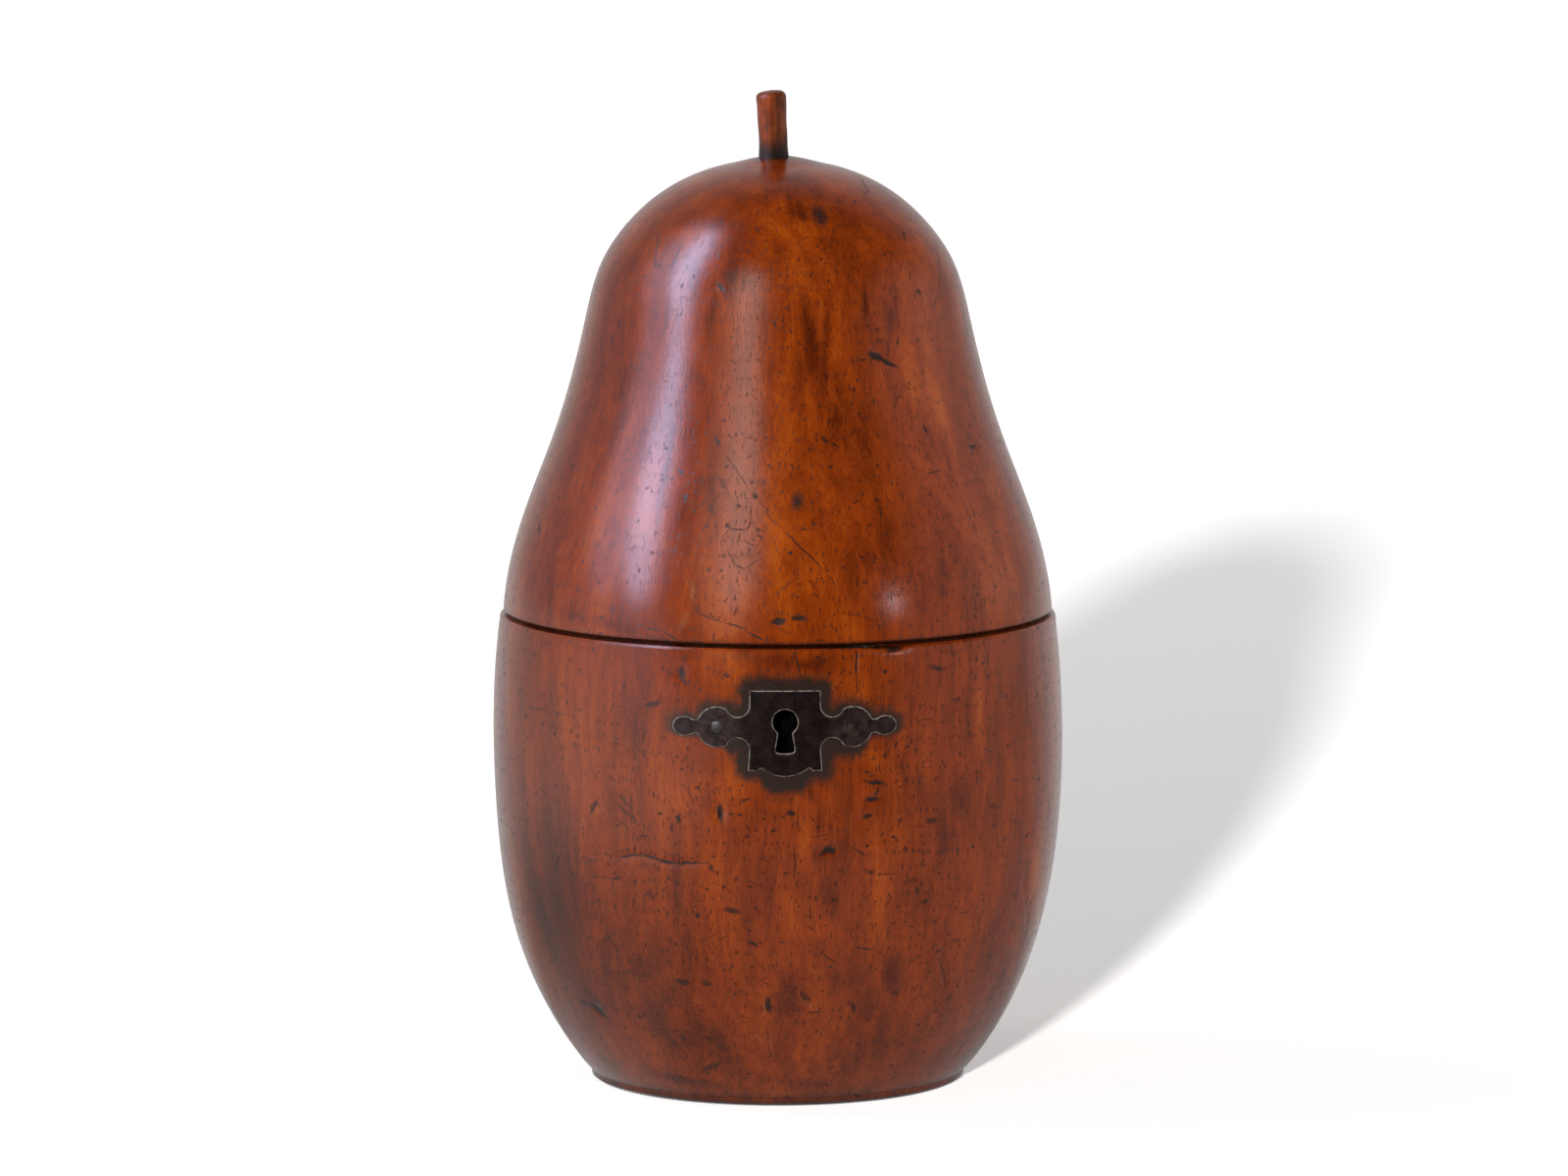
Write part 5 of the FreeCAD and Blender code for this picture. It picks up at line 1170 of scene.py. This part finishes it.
line, lineShare = streak("line")
fine, fineShare = streak("fine")
medium, mediumShare = streak("medium")
medium = ranged(grainGroup, medium, *grainLook["mediumReach"])
broad, broadShare = streak("broad")
cloud, cloudShare = noise(grainGroup, given[0], grainLook["cloud"], 5, 0.65), grainLook["cloudShare"]
tone = calc(grainGroup, "MULTIPLY_ADD", line, lineShare, -lineShare / 2)
for part, share in ((fine, fineShare), (medium, mediumShare), (broad, broadShare), (cloud, cloudShare)):
    tone = calc(grainGroup, "ADD", tone, calc(grainGroup, "MULTIPLY_ADD", part, share, -share / 2))
height = calc(grainGroup, "MULTIPLY_ADD", line, 0.5, calc(grainGroup, "MULTIPLY", fine, 0.5))
for socket, value in zip(result, (tone, height)):
    feed(grainGroup, socket, value)

# Uneven dark iron: cloudy colour, fine rust, scratches that catch the light
ironGroup, given, result = newGroup(
    "ironSkin", [("Object", "Vector"), ("Dark", "Color"), ("Light", "Color"), ("Rust", "Float")],
    [("Color", "Color"), ("Roughness", "Float"), ("Height", "Float")])
ironSpot = vector(ironGroup, "SCALE", given[0], scale=1 / mm)
cloudy = noise(ironGroup, ironSpot, 0.55, 4, 0.65)
grit = noise(ironGroup, ironSpot, 4.0, 3, 0.6)
rub = noise(ironGroup, vector(ironGroup, "MULTIPLY", ironSpot, (0.7, 0.7, 6.0)), 1.0, 3, 0.6)
ironColour = mixed(ironGroup, ranged(ironGroup, cloudy, 0.35, 0.7), given[1], given[2])
rubbedIron = calc(ironGroup, "MULTIPLY", ranged(ironGroup, rub, 0.62, 0.75), 0.35)
ironColour = mixed(ironGroup, rubbedIron, ironColour, given[2])
rusty = calc(ironGroup, "MULTIPLY", ranged(ironGroup, grit, 0.52, 0.7), given[3])
ironColour = mixed(ironGroup, rusty, ironColour, (0.09, 0.028, 0.010, 1))
feed(ironGroup, result[0], ironColour)
feed(ironGroup, result[1], calc(ironGroup, "MULTIPLY_ADD", cloudy, 0.35, 0.28))
feed(ironGroup, result[2], calc(ironGroup, "ADD", calc(ironGroup, "MULTIPLY", grit, 0.6), cloudy))


def dress(material, *things):
    for thing in things:
        thing.data.materials.clear()
        thing.data.materials.append(material)


def newMaterial(name):
    material = bpy.data.materials.new(name)
    material.use_nodes = True
    tree = material.node_tree
    shader = tree.nodes["Principled BSDF"]
    where = tree.nodes.new("ShaderNodeTexCoord").outputs["Object"]
    return material, tree, shader, where


def bumped(tree, shader, height, strength, depth):
    node = tree.nodes.new("ShaderNodeBump")
    node.inputs["Strength"].default_value, node.inputs["Distance"].default_value = strength, depth * mm
    feed(tree, node.inputs["Height"], height)
    feed(tree, shader.inputs["Normal"], node.outputs[0])


woodLook = {
    "ramp": [(0.0, (0.034, 0.0050, 0.0010)), (0.28, (0.100, 0.0138, 0.0012)), (0.52, (0.220, 0.0315, 0.0016)),
             (0.74, (0.345, 0.0630, 0.0026)), (1.0, (0.50, 0.125, 0.007))],
    "mark": (0.012, 0.0065, 0.005, 1), "pale": (0.46, 0.24, 0.12, 1), "grime": (0.010, 0.007, 0.006, 1),
    "halo": (0.019, 0.013, 0.0105, 1), "shadow": (0.05, 0.035, 0.03, 1), "hole": (0.002, 0.0015, 0.0015, 1),
    "lid": 0.49, "bowl": 0.465, "light": 0.24, "deep": -0.34, "shade": 0.72, "cover": 0.9, "paleCover": 0.42,
    "rough": 0.20, "roughSpread": 0.12, "roughMark": 0.25, "bump": (0.2, 0.12),
}
# kind, how steeply it falls off, and the levels: strengths from, up to, drawn as
firm, soft = [(0.75, 2, 0.95), (0.48, 0.75, 0.68), (0, 0.48, 0.40)], [(0, 2, 1.0)]
markKinds = [("dark", 2.4, firm), ("pale", 1.6, soft), ("light", 1.3, soft), ("deep", 1.3, soft)]


def woodMaterial(name, marks, middle):
    material, tree, shader, where = newMaterial(name)
    spots = useGroup(tree, placeGroup, Object=where)
    grain = useGroup(tree, grainGroup, Spot=spots["Spot"])
    masks = {kind: useGroup(tree, markGroup(name + kind.capitalize(), marks[kind], peak, levels),
                            Blot=spots["Blot"], Line=spots["Line"])[0] for kind, peak, levels in markKinds}
    tone = calc(tree, "ADD", grain["Tone"], middle)
    tone = calc(tree, "MULTIPLY_ADD", masks["light"], woodLook["light"], tone)
    tone = calc(tree, "MULTIPLY_ADD", masks["deep"], woodLook["deep"], tone)
    colour = ramp(tree, tone, woodLook["ramp"])
    # marks are broken up by grit; thin colour first darkens the wood, thick colour hides it
    grit = noise(tree, spots["Spot"], 1.7, 5, 0.72)
    dark = calc(tree, "MULTIPLY", masks["dark"], calc(tree, "MULTIPLY_ADD", grit, 2.2, -0.2))
    fleck = useGroup(tree, fleckMarks, Line=spots["Line"])["Mask"]
    dark = limited(tree, calc(tree, "MAXIMUM", dark, fleck))
    shade = mixed(tree, calc(tree, "MULTIPLY", dark, woodLook["shade"]), (1, 1, 1, 1), woodLook["shadow"])
    colour = mixed(tree, 1.0, colour, shade, "MULTIPLY")
    thick = calc(tree, "MULTIPLY", calc(tree, "MULTIPLY", dark, dark), woodLook["cover"])
    colour = mixed(tree, thick, colour, woodLook["mark"])
    # pale marks are partly pale worn wood and partly painted highlights: glints on worn spots and along the
    # bowl's rim
    pale = limited(tree, calc(tree, "MULTIPLY", masks["pale"], calc(tree, "MULTIPLY_ADD", grit, 1.8, -0.3)))
    colour = mixed(tree, calc(tree, "MULTIPLY", pale, woodLook["paleCover"]), colour, woodLook["pale"])
    return material, tree, shader, spots, grain, dark, colour


def finishWood(tree, shader, spots, grain, dark, colour):
    feed(tree, shader.inputs["Base Color"], colour)
    uneven = noise(tree, spots["Spot"], 0.12, 3, 0.6)
    spread = woodLook["roughSpread"]
    rough = calc(tree, "MULTIPLY_ADD", uneven, spread, woodLook["rough"] - spread / 2)
    feed(tree, shader.inputs["Roughness"], calc(tree, "MULTIPLY_ADD", dark, woodLook["roughMark"], rough))
    bumped(tree, shader, grain["Height"], *woodLook["bump"])


lidWood, tree, shader, spots, grain, dark, colour = woodMaterial("lidWood", lidMarks, woodLook["lid"])
# dark ring of old wax round the stem, and the seam's edge
waxLook = {
    "ragged": 2.2, "ring": (3.3, 7.0, 0.85, 0.0), "heights": (150, 154),
    "seamRagged": -0.7, "seam": (80.2, 81.1, 0.85, 0.0),
}
stemGap = vector(tree, "DISTANCE", vector(tree, "MULTIPLY", spots["Spot"], (1, 1, 0)), (stemLook["x"], 0, 0))
ragged = noise(tree, spots["Spot"], 1.2, 2, 0.6)
ring = ranged(tree, calc(tree, "MULTIPLY_ADD", ragged, waxLook["ragged"], stemGap), *waxLook["ring"])
ring = calc(tree, "MULTIPLY", ring, ranged(tree, spots["Up"], *waxLook["heights"]))
colour = mixed(tree, ring, colour, woodLook["grime"])
seam = ranged(tree, calc(tree, "MULTIPLY_ADD", ragged, waxLook["seamRagged"], spots["Up"]), *waxLook["seam"])
colour = mixed(tree, seam, colour, woodLook["grime"])
finishWood(tree, shader, spots, grain, dark, colour)
dress(lidWood, lid)

bowlWood, tree, shader, spots, grain, dark, colour = woodMaterial("bowlWood", bowlMarks, woodLook["bowl"])
ragged = noise(tree, spots["Spot"], 0.5, 4, 0.6)
gap = stored(tree, "plateGap")
# grime fills the notches of the plate, creeps further below it and less above its top edge:
# heights and distances from the middle between which it grows, then the reach at both where it isn't 0 to 1
haloLook = {
    "lowerHeights": (62, 59), "lowerAside": (2.5, 6.5, 1.3, -0.6),
    "upperHeights": (71.5, 73.5), "upperAside": (3.5, 9.0, 1.2, 0.2),
    "leftWing": (-8.8, -10.8, 0.3, -1.8), "rightWing": (12.0, 15.0, 0.3, -1.2), "wingHeights": (66.5, 64.5),
    "notchNear": (5.0, 6.5), "notchFar": (10.5, 8.5), "notch": 0.8, "ragged": 2.6, "least": 0.05,
    "blur": 0.8, "edge": (-1.4, 1.1, 0.97, 0.0), "inside": (0.0, 0.05, 0.9, 0.0),
    "footRagged": -2.4, "foot": (-1.2, 1.6, 0.85, 0.0),
}
across = parted(tree, spots["Spot"])[0]
aside = calc(tree, "ABSOLUTE", across)
lower = calc(tree, "MULTIPLY", ranged(tree, spots["Up"], *haloLook["lowerHeights"]),
             ranged(tree, aside, *haloLook["lowerAside"]))
upper = calc(tree, "MULTIPLY", ranged(tree, spots["Up"], *haloLook["upperHeights"]),
             ranged(tree, aside, *haloLook["upperAside"]))
under = calc(tree, "ADD", ranged(tree, across, *haloLook["leftWing"]),
             ranged(tree, across, *haloLook["rightWing"]))
under = calc(tree, "MULTIPLY", under, ranged(tree, spots["Up"], *haloLook["wingHeights"]))
notch = calc(tree, "MULTIPLY", ranged(tree, aside, *haloLook["notchNear"]),
             ranged(tree, aside, *haloLook["notchFar"]))
under = calc(tree, "MULTIPLY_ADD", notch, haloLook["notch"], under)
evenReach = calc(tree, "MULTIPLY_ADD", ragged, haloLook["ragged"], haloLook["least"])
reach = calc(tree, "ADD", evenReach, calc(tree, "ADD", calc(tree, "ADD", lower, upper), under))
blur = noise(tree, spots["Spot"], 1.6, 4, 0.7)
blur = calc(tree, "MULTIPLY_ADD", blur, haloLook["blur"], -haloLook["blur"] / 2)
halo = ranged(tree, calc(tree, "ADD", calc(tree, "SUBTRACT", gap, reach), blur), *haloLook["edge"])
colour = mixed(tree, halo, colour, woodLook["halo"])
# painted shade: inside the plate's outline, where the keyhole and the recess walls show, the wood is coloured
# nearly black
inside = ranged(tree, gap, *haloLook["inside"])
colour = mixed(tree, inside, colour, woodLook["hole"])
footUp = calc(tree, "MULTIPLY_ADD", ragged, haloLook["footRagged"], spots["Up"])
foot = ranged(tree, footUp, *haloLook["foot"])
colour = mixed(tree, foot, colour, woodLook["grime"])
finishWood(tree, shader, spots, grain, dark, colour)
dress(bowlWood, bowl)

# Stem: dry brown bark with darker furrows, darkest where it meets the dome, its left side painted lighter as
# if lit from the left
barkLook = {
    "ramp": [(0.25, (0.012, 0.006, 0.004)), (0.45, (0.058, 0.015, 0.005)),
             (0.60, (0.125, 0.026, 0.006)), (0.85, (0.24, 0.066, 0.018))],
    "furrow": 0.65, "patch": 0.45, "rubAndSideLight": (0.2, -1.6), "sideLightBy": (2.0, 1.6, 1.3, 1),
    "ragged": -2.5, "foot": (157.4, 160.9, 0.95, 0.0), "footColour": (0.008, 0.006, 0.005, 1),
    "rough": 0.38, "specular": 0.3, "bump": (0.35, 0.2),
}
stemWood, tree, shader, where = newMaterial("stemWood")
stemSpot = vector(tree, "SCALE", where, scale=1 / mm)
furrow = noise(tree, stretched(tree, stemSpot, 1.5, 0.16), 1.0, 4, 0.65)
patch = noise(tree, stemSpot, 0.5, 3, 0.6)
stemTone = calc(tree, "ADD", calc(tree, "MULTIPLY", furrow, barkLook["furrow"]),
                calc(tree, "MULTIPLY", patch, barkLook["patch"]))
stemColour = ramp(tree, stemTone, barkLook["ramp"])
stemSplit = parted(tree, stemSpot)
# painted light: the left side of the stem is coloured lighter, as if lit from the left
rubAndSideLight = ranged(tree, stemSplit[0], *(stemLook["x"] + x for x in barkLook["rubAndSideLight"]))
sideLit = mixed(tree, 1.0, stemColour, barkLook["sideLightBy"], "MULTIPLY")
stemColour = mixed(tree, rubAndSideLight, stemColour, sideLit)
base = ranged(tree, calc(tree, "MULTIPLY_ADD", patch, barkLook["ragged"], stemSplit[2]), *barkLook["foot"])
feed(tree, shader.inputs["Base Color"], mixed(tree, base, stemColour, barkLook["footColour"]))
shader.inputs["Roughness"].default_value = barkLook["rough"]
shader.inputs["Specular IOR Level"].default_value = barkLook["specular"]
bumped(tree, shader, furrow, *barkLook["bump"])
dress(stemWood, stem)


ironLook = {
    "blackIron": {"dark": (0.0034, 0.0016, 0.0015), "light": (0.0115, 0.0062, 0.0057), "rust": 0.22,
                  "metallic": 0.05, "bump": 0.6},
    "pinIron": {"dark": (0.045, 0.040, 0.039), "light": (0.16, 0.145, 0.14), "rust": 0.15,
                "metallic": 0.4, "bump": 0.3},
    "hingeIron": {"dark": (0.035, 0.028, 0.024), "light": (0.13, 0.11, 0.095), "rust": 0.45,
                  "metallic": 0.7, "bump": 0.4},
    "lockSteel": {"dark": (0.10, 0.09, 0.08), "light": (0.34, 0.31, 0.28), "rust": 0.35,
                  "metallic": 0.9, "bump": 0.25},
}


def ironMaterial(name):
    look = ironLook[name]
    material, tree, shader, where = newMaterial(name)
    skin = useGroup(tree, ironGroup, Object=where, Dark=(*look["dark"], 1), Light=(*look["light"], 1),
                    Rust=look["rust"])
    feed(tree, shader.inputs["Base Color"], skin["Color"])
    feed(tree, shader.inputs["Roughness"], skin["Roughness"])
    shader.inputs["Metallic"].default_value = look["metallic"]
    shader.inputs["Specular IOR Level"].default_value = 0.2
    bumped(tree, shader, skin["Height"], look["bump"], 0.1)
    return material, tree, shader, skin, where


# the plate's wings, left more than right, are rubbed greyer than the middle, and its edges are bright
rubLook = {
    "left": (-6.5 * mm, -9.0 * mm, 0.0, 0.85), "right": (6.5 * mm, 9.0 * mm, 0.0, 0.45),
    "greyer": (3.4, 4.3, 4.5, 1), "edge": (0.36, 0.31, 0.27, 1), "broken": (0.35, 0.6, 0.25, 1.0),
}
blackIron, tree, shader, skin, where = ironMaterial("blackIron")
plateSplit = parted(tree, where)
wings = calc(tree, "MAXIMUM", ranged(tree, plateSplit[0], *rubLook["left"]),
             ranged(tree, plateSplit[0], *rubLook["right"]))
greyer = mixed(tree, 1.0, skin["Color"], rubLook["greyer"], "MULTIPLY")
plateColour = mixed(tree, wings, skin["Color"], greyer)
edge = stored(tree, "wornEdge")
edgeBreak = noise(tree, vector(tree, "SCALE", where, scale=1 / mm), 0.9, 2, 0.6)
bright = calc(tree, "MULTIPLY", edge, ranged(tree, edgeBreak, *rubLook["broken"]))
feed(tree, shader.inputs["Base Color"], mixed(tree, bright, plateColour, rubLook["edge"]))
dress(blackIron, plate)

# the right pin is browner and darker than the left
pinIron, tree, shader, skin, where = ironMaterial("pinIron")
brown = mixed(tree, ranged(tree, parted(tree, where)[0], -mm, mm), (1, 1, 1, 1), (0.34, 0.25, 0.21, 1))
feed(tree, shader.inputs["Base Color"], mixed(tree, 1.0, skin["Color"], brown, "MULTIPLY"))
dress(pinIron, pins)

# inside the lock, in front of its back plate and under its top, the steel is painted almost black: painted
# shade, as seen through the keyhole
lockShadeLook = {"back": (0.3, 0.1), "top": (-0.4, -1.2), "colour": (0.002, 0.0018, 0.0018, 1)}
hingeIron, *_ = ironMaterial("hingeIron")
lockSteel, tree, shader, skin, where = ironMaterial("lockSteel")
lockSplit = parted(tree, where)
caseBack = ranged(tree, lockSplit[1], *((caseHigh[1] + y) * mm for y in lockShadeLook["back"]))
caseTop = ranged(tree, lockSplit[2], *((caseHigh[2] + z) * mm for z in lockShadeLook["top"]))
lockShade = calc(tree, "MULTIPLY", caseBack, caseTop)
metallic = ironLook["lockSteel"]["metallic"]
feed(tree, shader.inputs["Base Color"], mixed(tree, lockShade, skin["Color"], lockShadeLook["colour"]))
feed(tree, shader.inputs["Metallic"], calc(tree, "MULTIPLY_ADD", lockShade, -metallic, metallic))
feed(tree, shader.inputs["Roughness"], calc(tree, "MAXIMUM", skin["Roughness"], lockShade))
for thing in metals:
    dress(hingeIron if thing["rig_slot"] == "hinge_iron" else lockSteel, thing)

# Tin foil: dull grey with rubbed creases and brown tea stains
tinLook = {
    "dull": (0.30, 0.29, 0.27, 1), "bright": (0.52, 0.51, 0.48, 1), "tea": (0.12, 0.075, 0.04, 1),
    "rubAndSideLight": (0.3, 0.7), "stained": (0.48, 0.75, 0.0, 0.75), "metallic": 0.85, "bump": (0.5, 0.3),
}
foilSkin, tree, shader, where = newMaterial("tinFoil")
foilSpot = vector(tree, "SCALE", where, scale=1 / mm)
stain = noise(tree, foilSpot, 0.06, 4, 0.65)
crumple = noise(tree, foilSpot, 0.45, 4, 0.7)
foilColour = mixed(tree, ranged(tree, crumple, *tinLook["rubAndSideLight"]), tinLook["dull"], tinLook["bright"])
foilColour = mixed(tree, ranged(tree, stain, *tinLook["stained"]), foilColour, tinLook["tea"])
feed(tree, shader.inputs["Base Color"], foilColour)
feed(tree, shader.inputs["Roughness"], calc(tree, "MULTIPLY_ADD", stain, 0.4, 0.2))
shader.inputs["Metallic"].default_value = tinLook["metallic"]
bumped(tree, shader, crumple, *tinLook["bump"])
dress(foilSkin, bowlFoil, lidFoil)
print("materials made")


# Floor, light and camera
def wayTo(azimuth, elevation):
    # azimuth from the front, positive to the right
    a, e = np.radians(azimuth), np.radians(elevation)
    return np.array([np.sin(a) * np.cos(e), -np.cos(a) * np.cos(e), np.sin(e)])


sunLook = {"azimuth": -10.9, "elevation": 11.8, "strength": 3.35}
floorLook = {
    "half": 9.0, "glow": 0.45, "paint": 1.25, "tilt": 70, "dim": 0.16,
    "ahead": (0.16, 0.32, 0.30, 0.04), "leftward": (0.08, 0.30, 0.5, 1.05), "left": (-0.10, -0.80),
    "right": (0.55, 0.9, 0.0, 0.34), "fade": (-0.1, 0.5, 1.0, 0.55), "behind": (0.1, 0.85, 0.0, 0.62),
}
floorCorners = np.array([(-1, -1, 0), (1, -1, 0), (1, 1, 0), (-1, 1, 0)]) * floorLook["half"] / mm
floor = makeObject("floor", floorCorners, [[0, 1, 2, 3]])
floorPaint = bpy.data.materials.new("floorPaint")
floorPaint.use_nodes = True
tree = floorPaint.node_tree
tree.nodes.clear()
path = tree.nodes.new("ShaderNodeLightPath")
seen = path.outputs["Is Camera Ray"]
paint = tree.nodes.new("ShaderNodeBsdfDiffuse")
dimmer, whiter = [(level, level, level, 1) for level in (floorLook["dim"], floorLook["paint"])]
feed(tree, paint.inputs[0], mixed(tree, seen, dimmer, whiter))
# its shading leans to the low sun: the shadow is clear and the shade of the sky stays faint
leaning = tree.nodes.new("ShaderNodeCombineXYZ")
for socket, part in zip(leaning.inputs, wayTo(sunLook["azimuth"], 90 - floorLook["tilt"])):
    socket.default_value = part
tree.links.new(leaning.outputs[0], paint.inputs["Normal"])
# in reflections the floor is bright behind and at the sides and dim in front, as the studio round it
floorSpot = tree.nodes.new("ShaderNodeTexCoord").outputs["Object"]
side = parted(tree, vector(tree, "NORMALIZE", floorSpot))
away = vector(tree, "LENGTH", floorSpot)
ahead = ranged(tree, away, *floorLook["ahead"])
leftward = ranged(tree, away, *floorLook["leftward"])
around = calc(tree, "MAXIMUM", calc(tree, "MULTIPLY", ranged(tree, side[0], *floorLook["left"]), leftward),
              ranged(tree, side[0], *floorLook["right"]))
around = calc(tree, "MULTIPLY", around, ranged(tree, side[1], *floorLook["fade"]))
around = calc(tree, "MAXIMUM", around, ahead)
around = calc(tree, "MAXIMUM", around, ranged(tree, side[1], *floorLook["behind"]))
glow = tree.nodes.new("ShaderNodeEmission")
glossy = calc(tree, "MULTIPLY", path.outputs["Is Glossy Ray"], around)
feed(tree, glow.inputs["Strength"], calc(tree, "MULTIPLY_ADD", seen, floorLook["glow"], glossy))
both = tree.nodes.new("ShaderNodeAddShader")
tree.links.new(paint.outputs[0], both.inputs[0])
tree.links.new(glow.outputs[0], both.inputs[1])
tree.links.new(both.outputs[0], tree.nodes.new("ShaderNodeOutputMaterial").inputs["Surface"])
dress(floorPaint, floor)


def lamp(name, kind, azimuth, elevation, strength, colour, size=None, lean=0, soft=None,
         diffuse=True, glossy=True, distance=1.3, aim=(0, 0, 0.09)):
    data = bpy.data.lights.new(name, kind)
    data.energy, data.color = strength, colour
    if size:
        data.shape, data.size, data.size_y = "ELLIPSE", *size
    if soft:
        data.angle = np.radians(soft)
    thing = bpy.data.objects.new(name, data)
    scene.collection.objects.link(thing)
    way = wayTo(azimuth, elevation)
    thing.location = way * distance + aim
    thing.rotation_mode = "QUATERNION"
    thing.rotation_quaternion = Vector(way).to_track_quat("Z", "Y") @ Quaternion((0, 0, 1), np.radians(lean))
    thing.visible_diffuse, thing.visible_glossy = diffuse, glossy
    return thing


coolDay, warmWhite = (0.60, 0.67, 1.0), (1.0, 0.97, 0.93)
lamp("keyLamp", "SUN", *sunLook.values(), (1.0, 0.98, 0.96), soft=3, glossy=False)
lamp("windowStrip", "AREA", -71.5, 38, 17.5, coolDay, size=(0.36, 1.50), lean=20, diffuse=False)
lamp("windowHaze", "AREA", -88.5, 37, 6.0, coolDay, size=(0.62, 1.50), lean=20, diffuse=False)
lamp("frontSheen", "AREA", -20, 30, 2.0, (0.97, 0.98, 0.95), size=(0.34, 1.0), diffuse=False)
lamp("wideSheen", "AREA", -26, 30, 1.7, warmWhite, size=(0.60, 1.3), diffuse=False)
lamp("rightFill", "AREA", 108, 3, 11.0, warmWhite, size=(0.9, 0.9), glossy=False)
lamp("leftFill", "AREA", -108, 46, 6.0, warmWhite, size=(0.9, 0.9), glossy=False)
lamp("sideSpark", "AREA", 49, 12, 0.018, (0.92, 0.88, 1.0), size=(0.018, 0.028), diffuse=False,
     distance=0.25, aim=(0.0185, -0.0408, 0.0878))

# Reflections see a studio, dark in front and pale behind, with a low bright sill at the left;
# its fill light grows to the right and behind. Camera rays see plain white
studioLook = {
    "behind": (0.2, 1.0), "behindColour": (0.62, 0.62, 0.63, 1), "frontColour": (0.0, 0.0, 0.0, 1),
    "left": (-0.55, -0.95), "leftColour": (0.42, 0.44, 0.54, 1),
    "right": (0.72, 0.92), "rightColour": (0.40, 0.40, 0.42, 1),
    "sillLeft": (-0.6, -0.85), "sillLow": (0.22, 0.04), "sillFront": (0.3, -0.1), "sill": (0.95, 1.0, 1.2, 1),
    "fill": (-0.4, 0.9), "fillLeft": (0.08, 0.08, 0.083, 1), "fillRight": (0.36, 0.355, 0.35, 1),
    "fillBehind": (0.05, 0.9), "fillBack": (0.62, 0.60, 0.58, 1),
}
world = bpy.data.worlds.new("studio")
scene.world = world
world.use_nodes = True
tree = world.node_tree
tree.nodes.clear()
path = tree.nodes.new("ShaderNodeLightPath")
direction = parted(tree, tree.nodes.new("ShaderNodeTexCoord").outputs["Generated"])
behind = ranged(tree, direction[1], *studioLook["behind"])
studio = mixed(tree, behind, studioLook["frontColour"], studioLook["behindColour"])
for way in ("left", "right"):
    edge = ranged(tree, direction[0], *studioLook[way])
    studio = mixed(tree, edge, studio, studioLook[way + "Colour"], "LIGHTEN")
sill = calc(tree, "MULTIPLY", ranged(tree, direction[0], *studioLook["sillLeft"]),
            ranged(tree, direction[2], *studioLook["sillLow"]))
sill = calc(tree, "MULTIPLY", sill, ranged(tree, direction[1], *studioLook["sillFront"]))
studio = mixed(tree, sill, studio, studioLook["sill"], "LIGHTEN")
fill = ranged(tree, direction[0], *studioLook["fill"])
fill = mixed(tree, fill, studioLook["fillLeft"], studioLook["fillRight"])
fill = mixed(tree, ranged(tree, direction[1], *studioLook["fillBehind"]), fill, studioLook["fillBack"])
ambient = mixed(tree, path.outputs["Is Glossy Ray"], fill, studio)
plain = calc(tree, "MAXIMUM", path.outputs["Is Camera Ray"], path.outputs["Is Transmission Ray"])
back = tree.nodes.new("ShaderNodeBackground")
feed(tree, back.inputs["Color"], mixed(tree, plain, ambient, (1, 1, 1, 1)))
tree.links.new(back.outputs[0], tree.nodes.new("ShaderNodeOutputWorld").inputs["Surface"])

# Camera at the photo's angle
viewLook = {
    "azimuth": -1.5, "distance": 1.8, "height": 0.3263, "pitch": 7.6675, "lens": 244.28, "sensor": 36,
    "aside": 0.00108,
}
camera = bpy.data.objects.new("camera", bpy.data.cameras.new("camera"))
scene.collection.objects.link(camera)
scene.camera = camera
camera.data.lens, camera.data.sensor_width = viewLook["lens"], viewLook["sensor"]
bearing = np.radians(viewLook["azimuth"])
sideways, forward = viewLook["distance"] * np.sin(bearing), viewLook["distance"] * np.cos(bearing)
camera.location = (sideways + viewLook["aside"], -forward, viewLook["height"])
camera.rotation_euler = (np.radians(90 - viewLook["pitch"]), 0, bearing)
scene.view_settings.view_transform = "Standard"
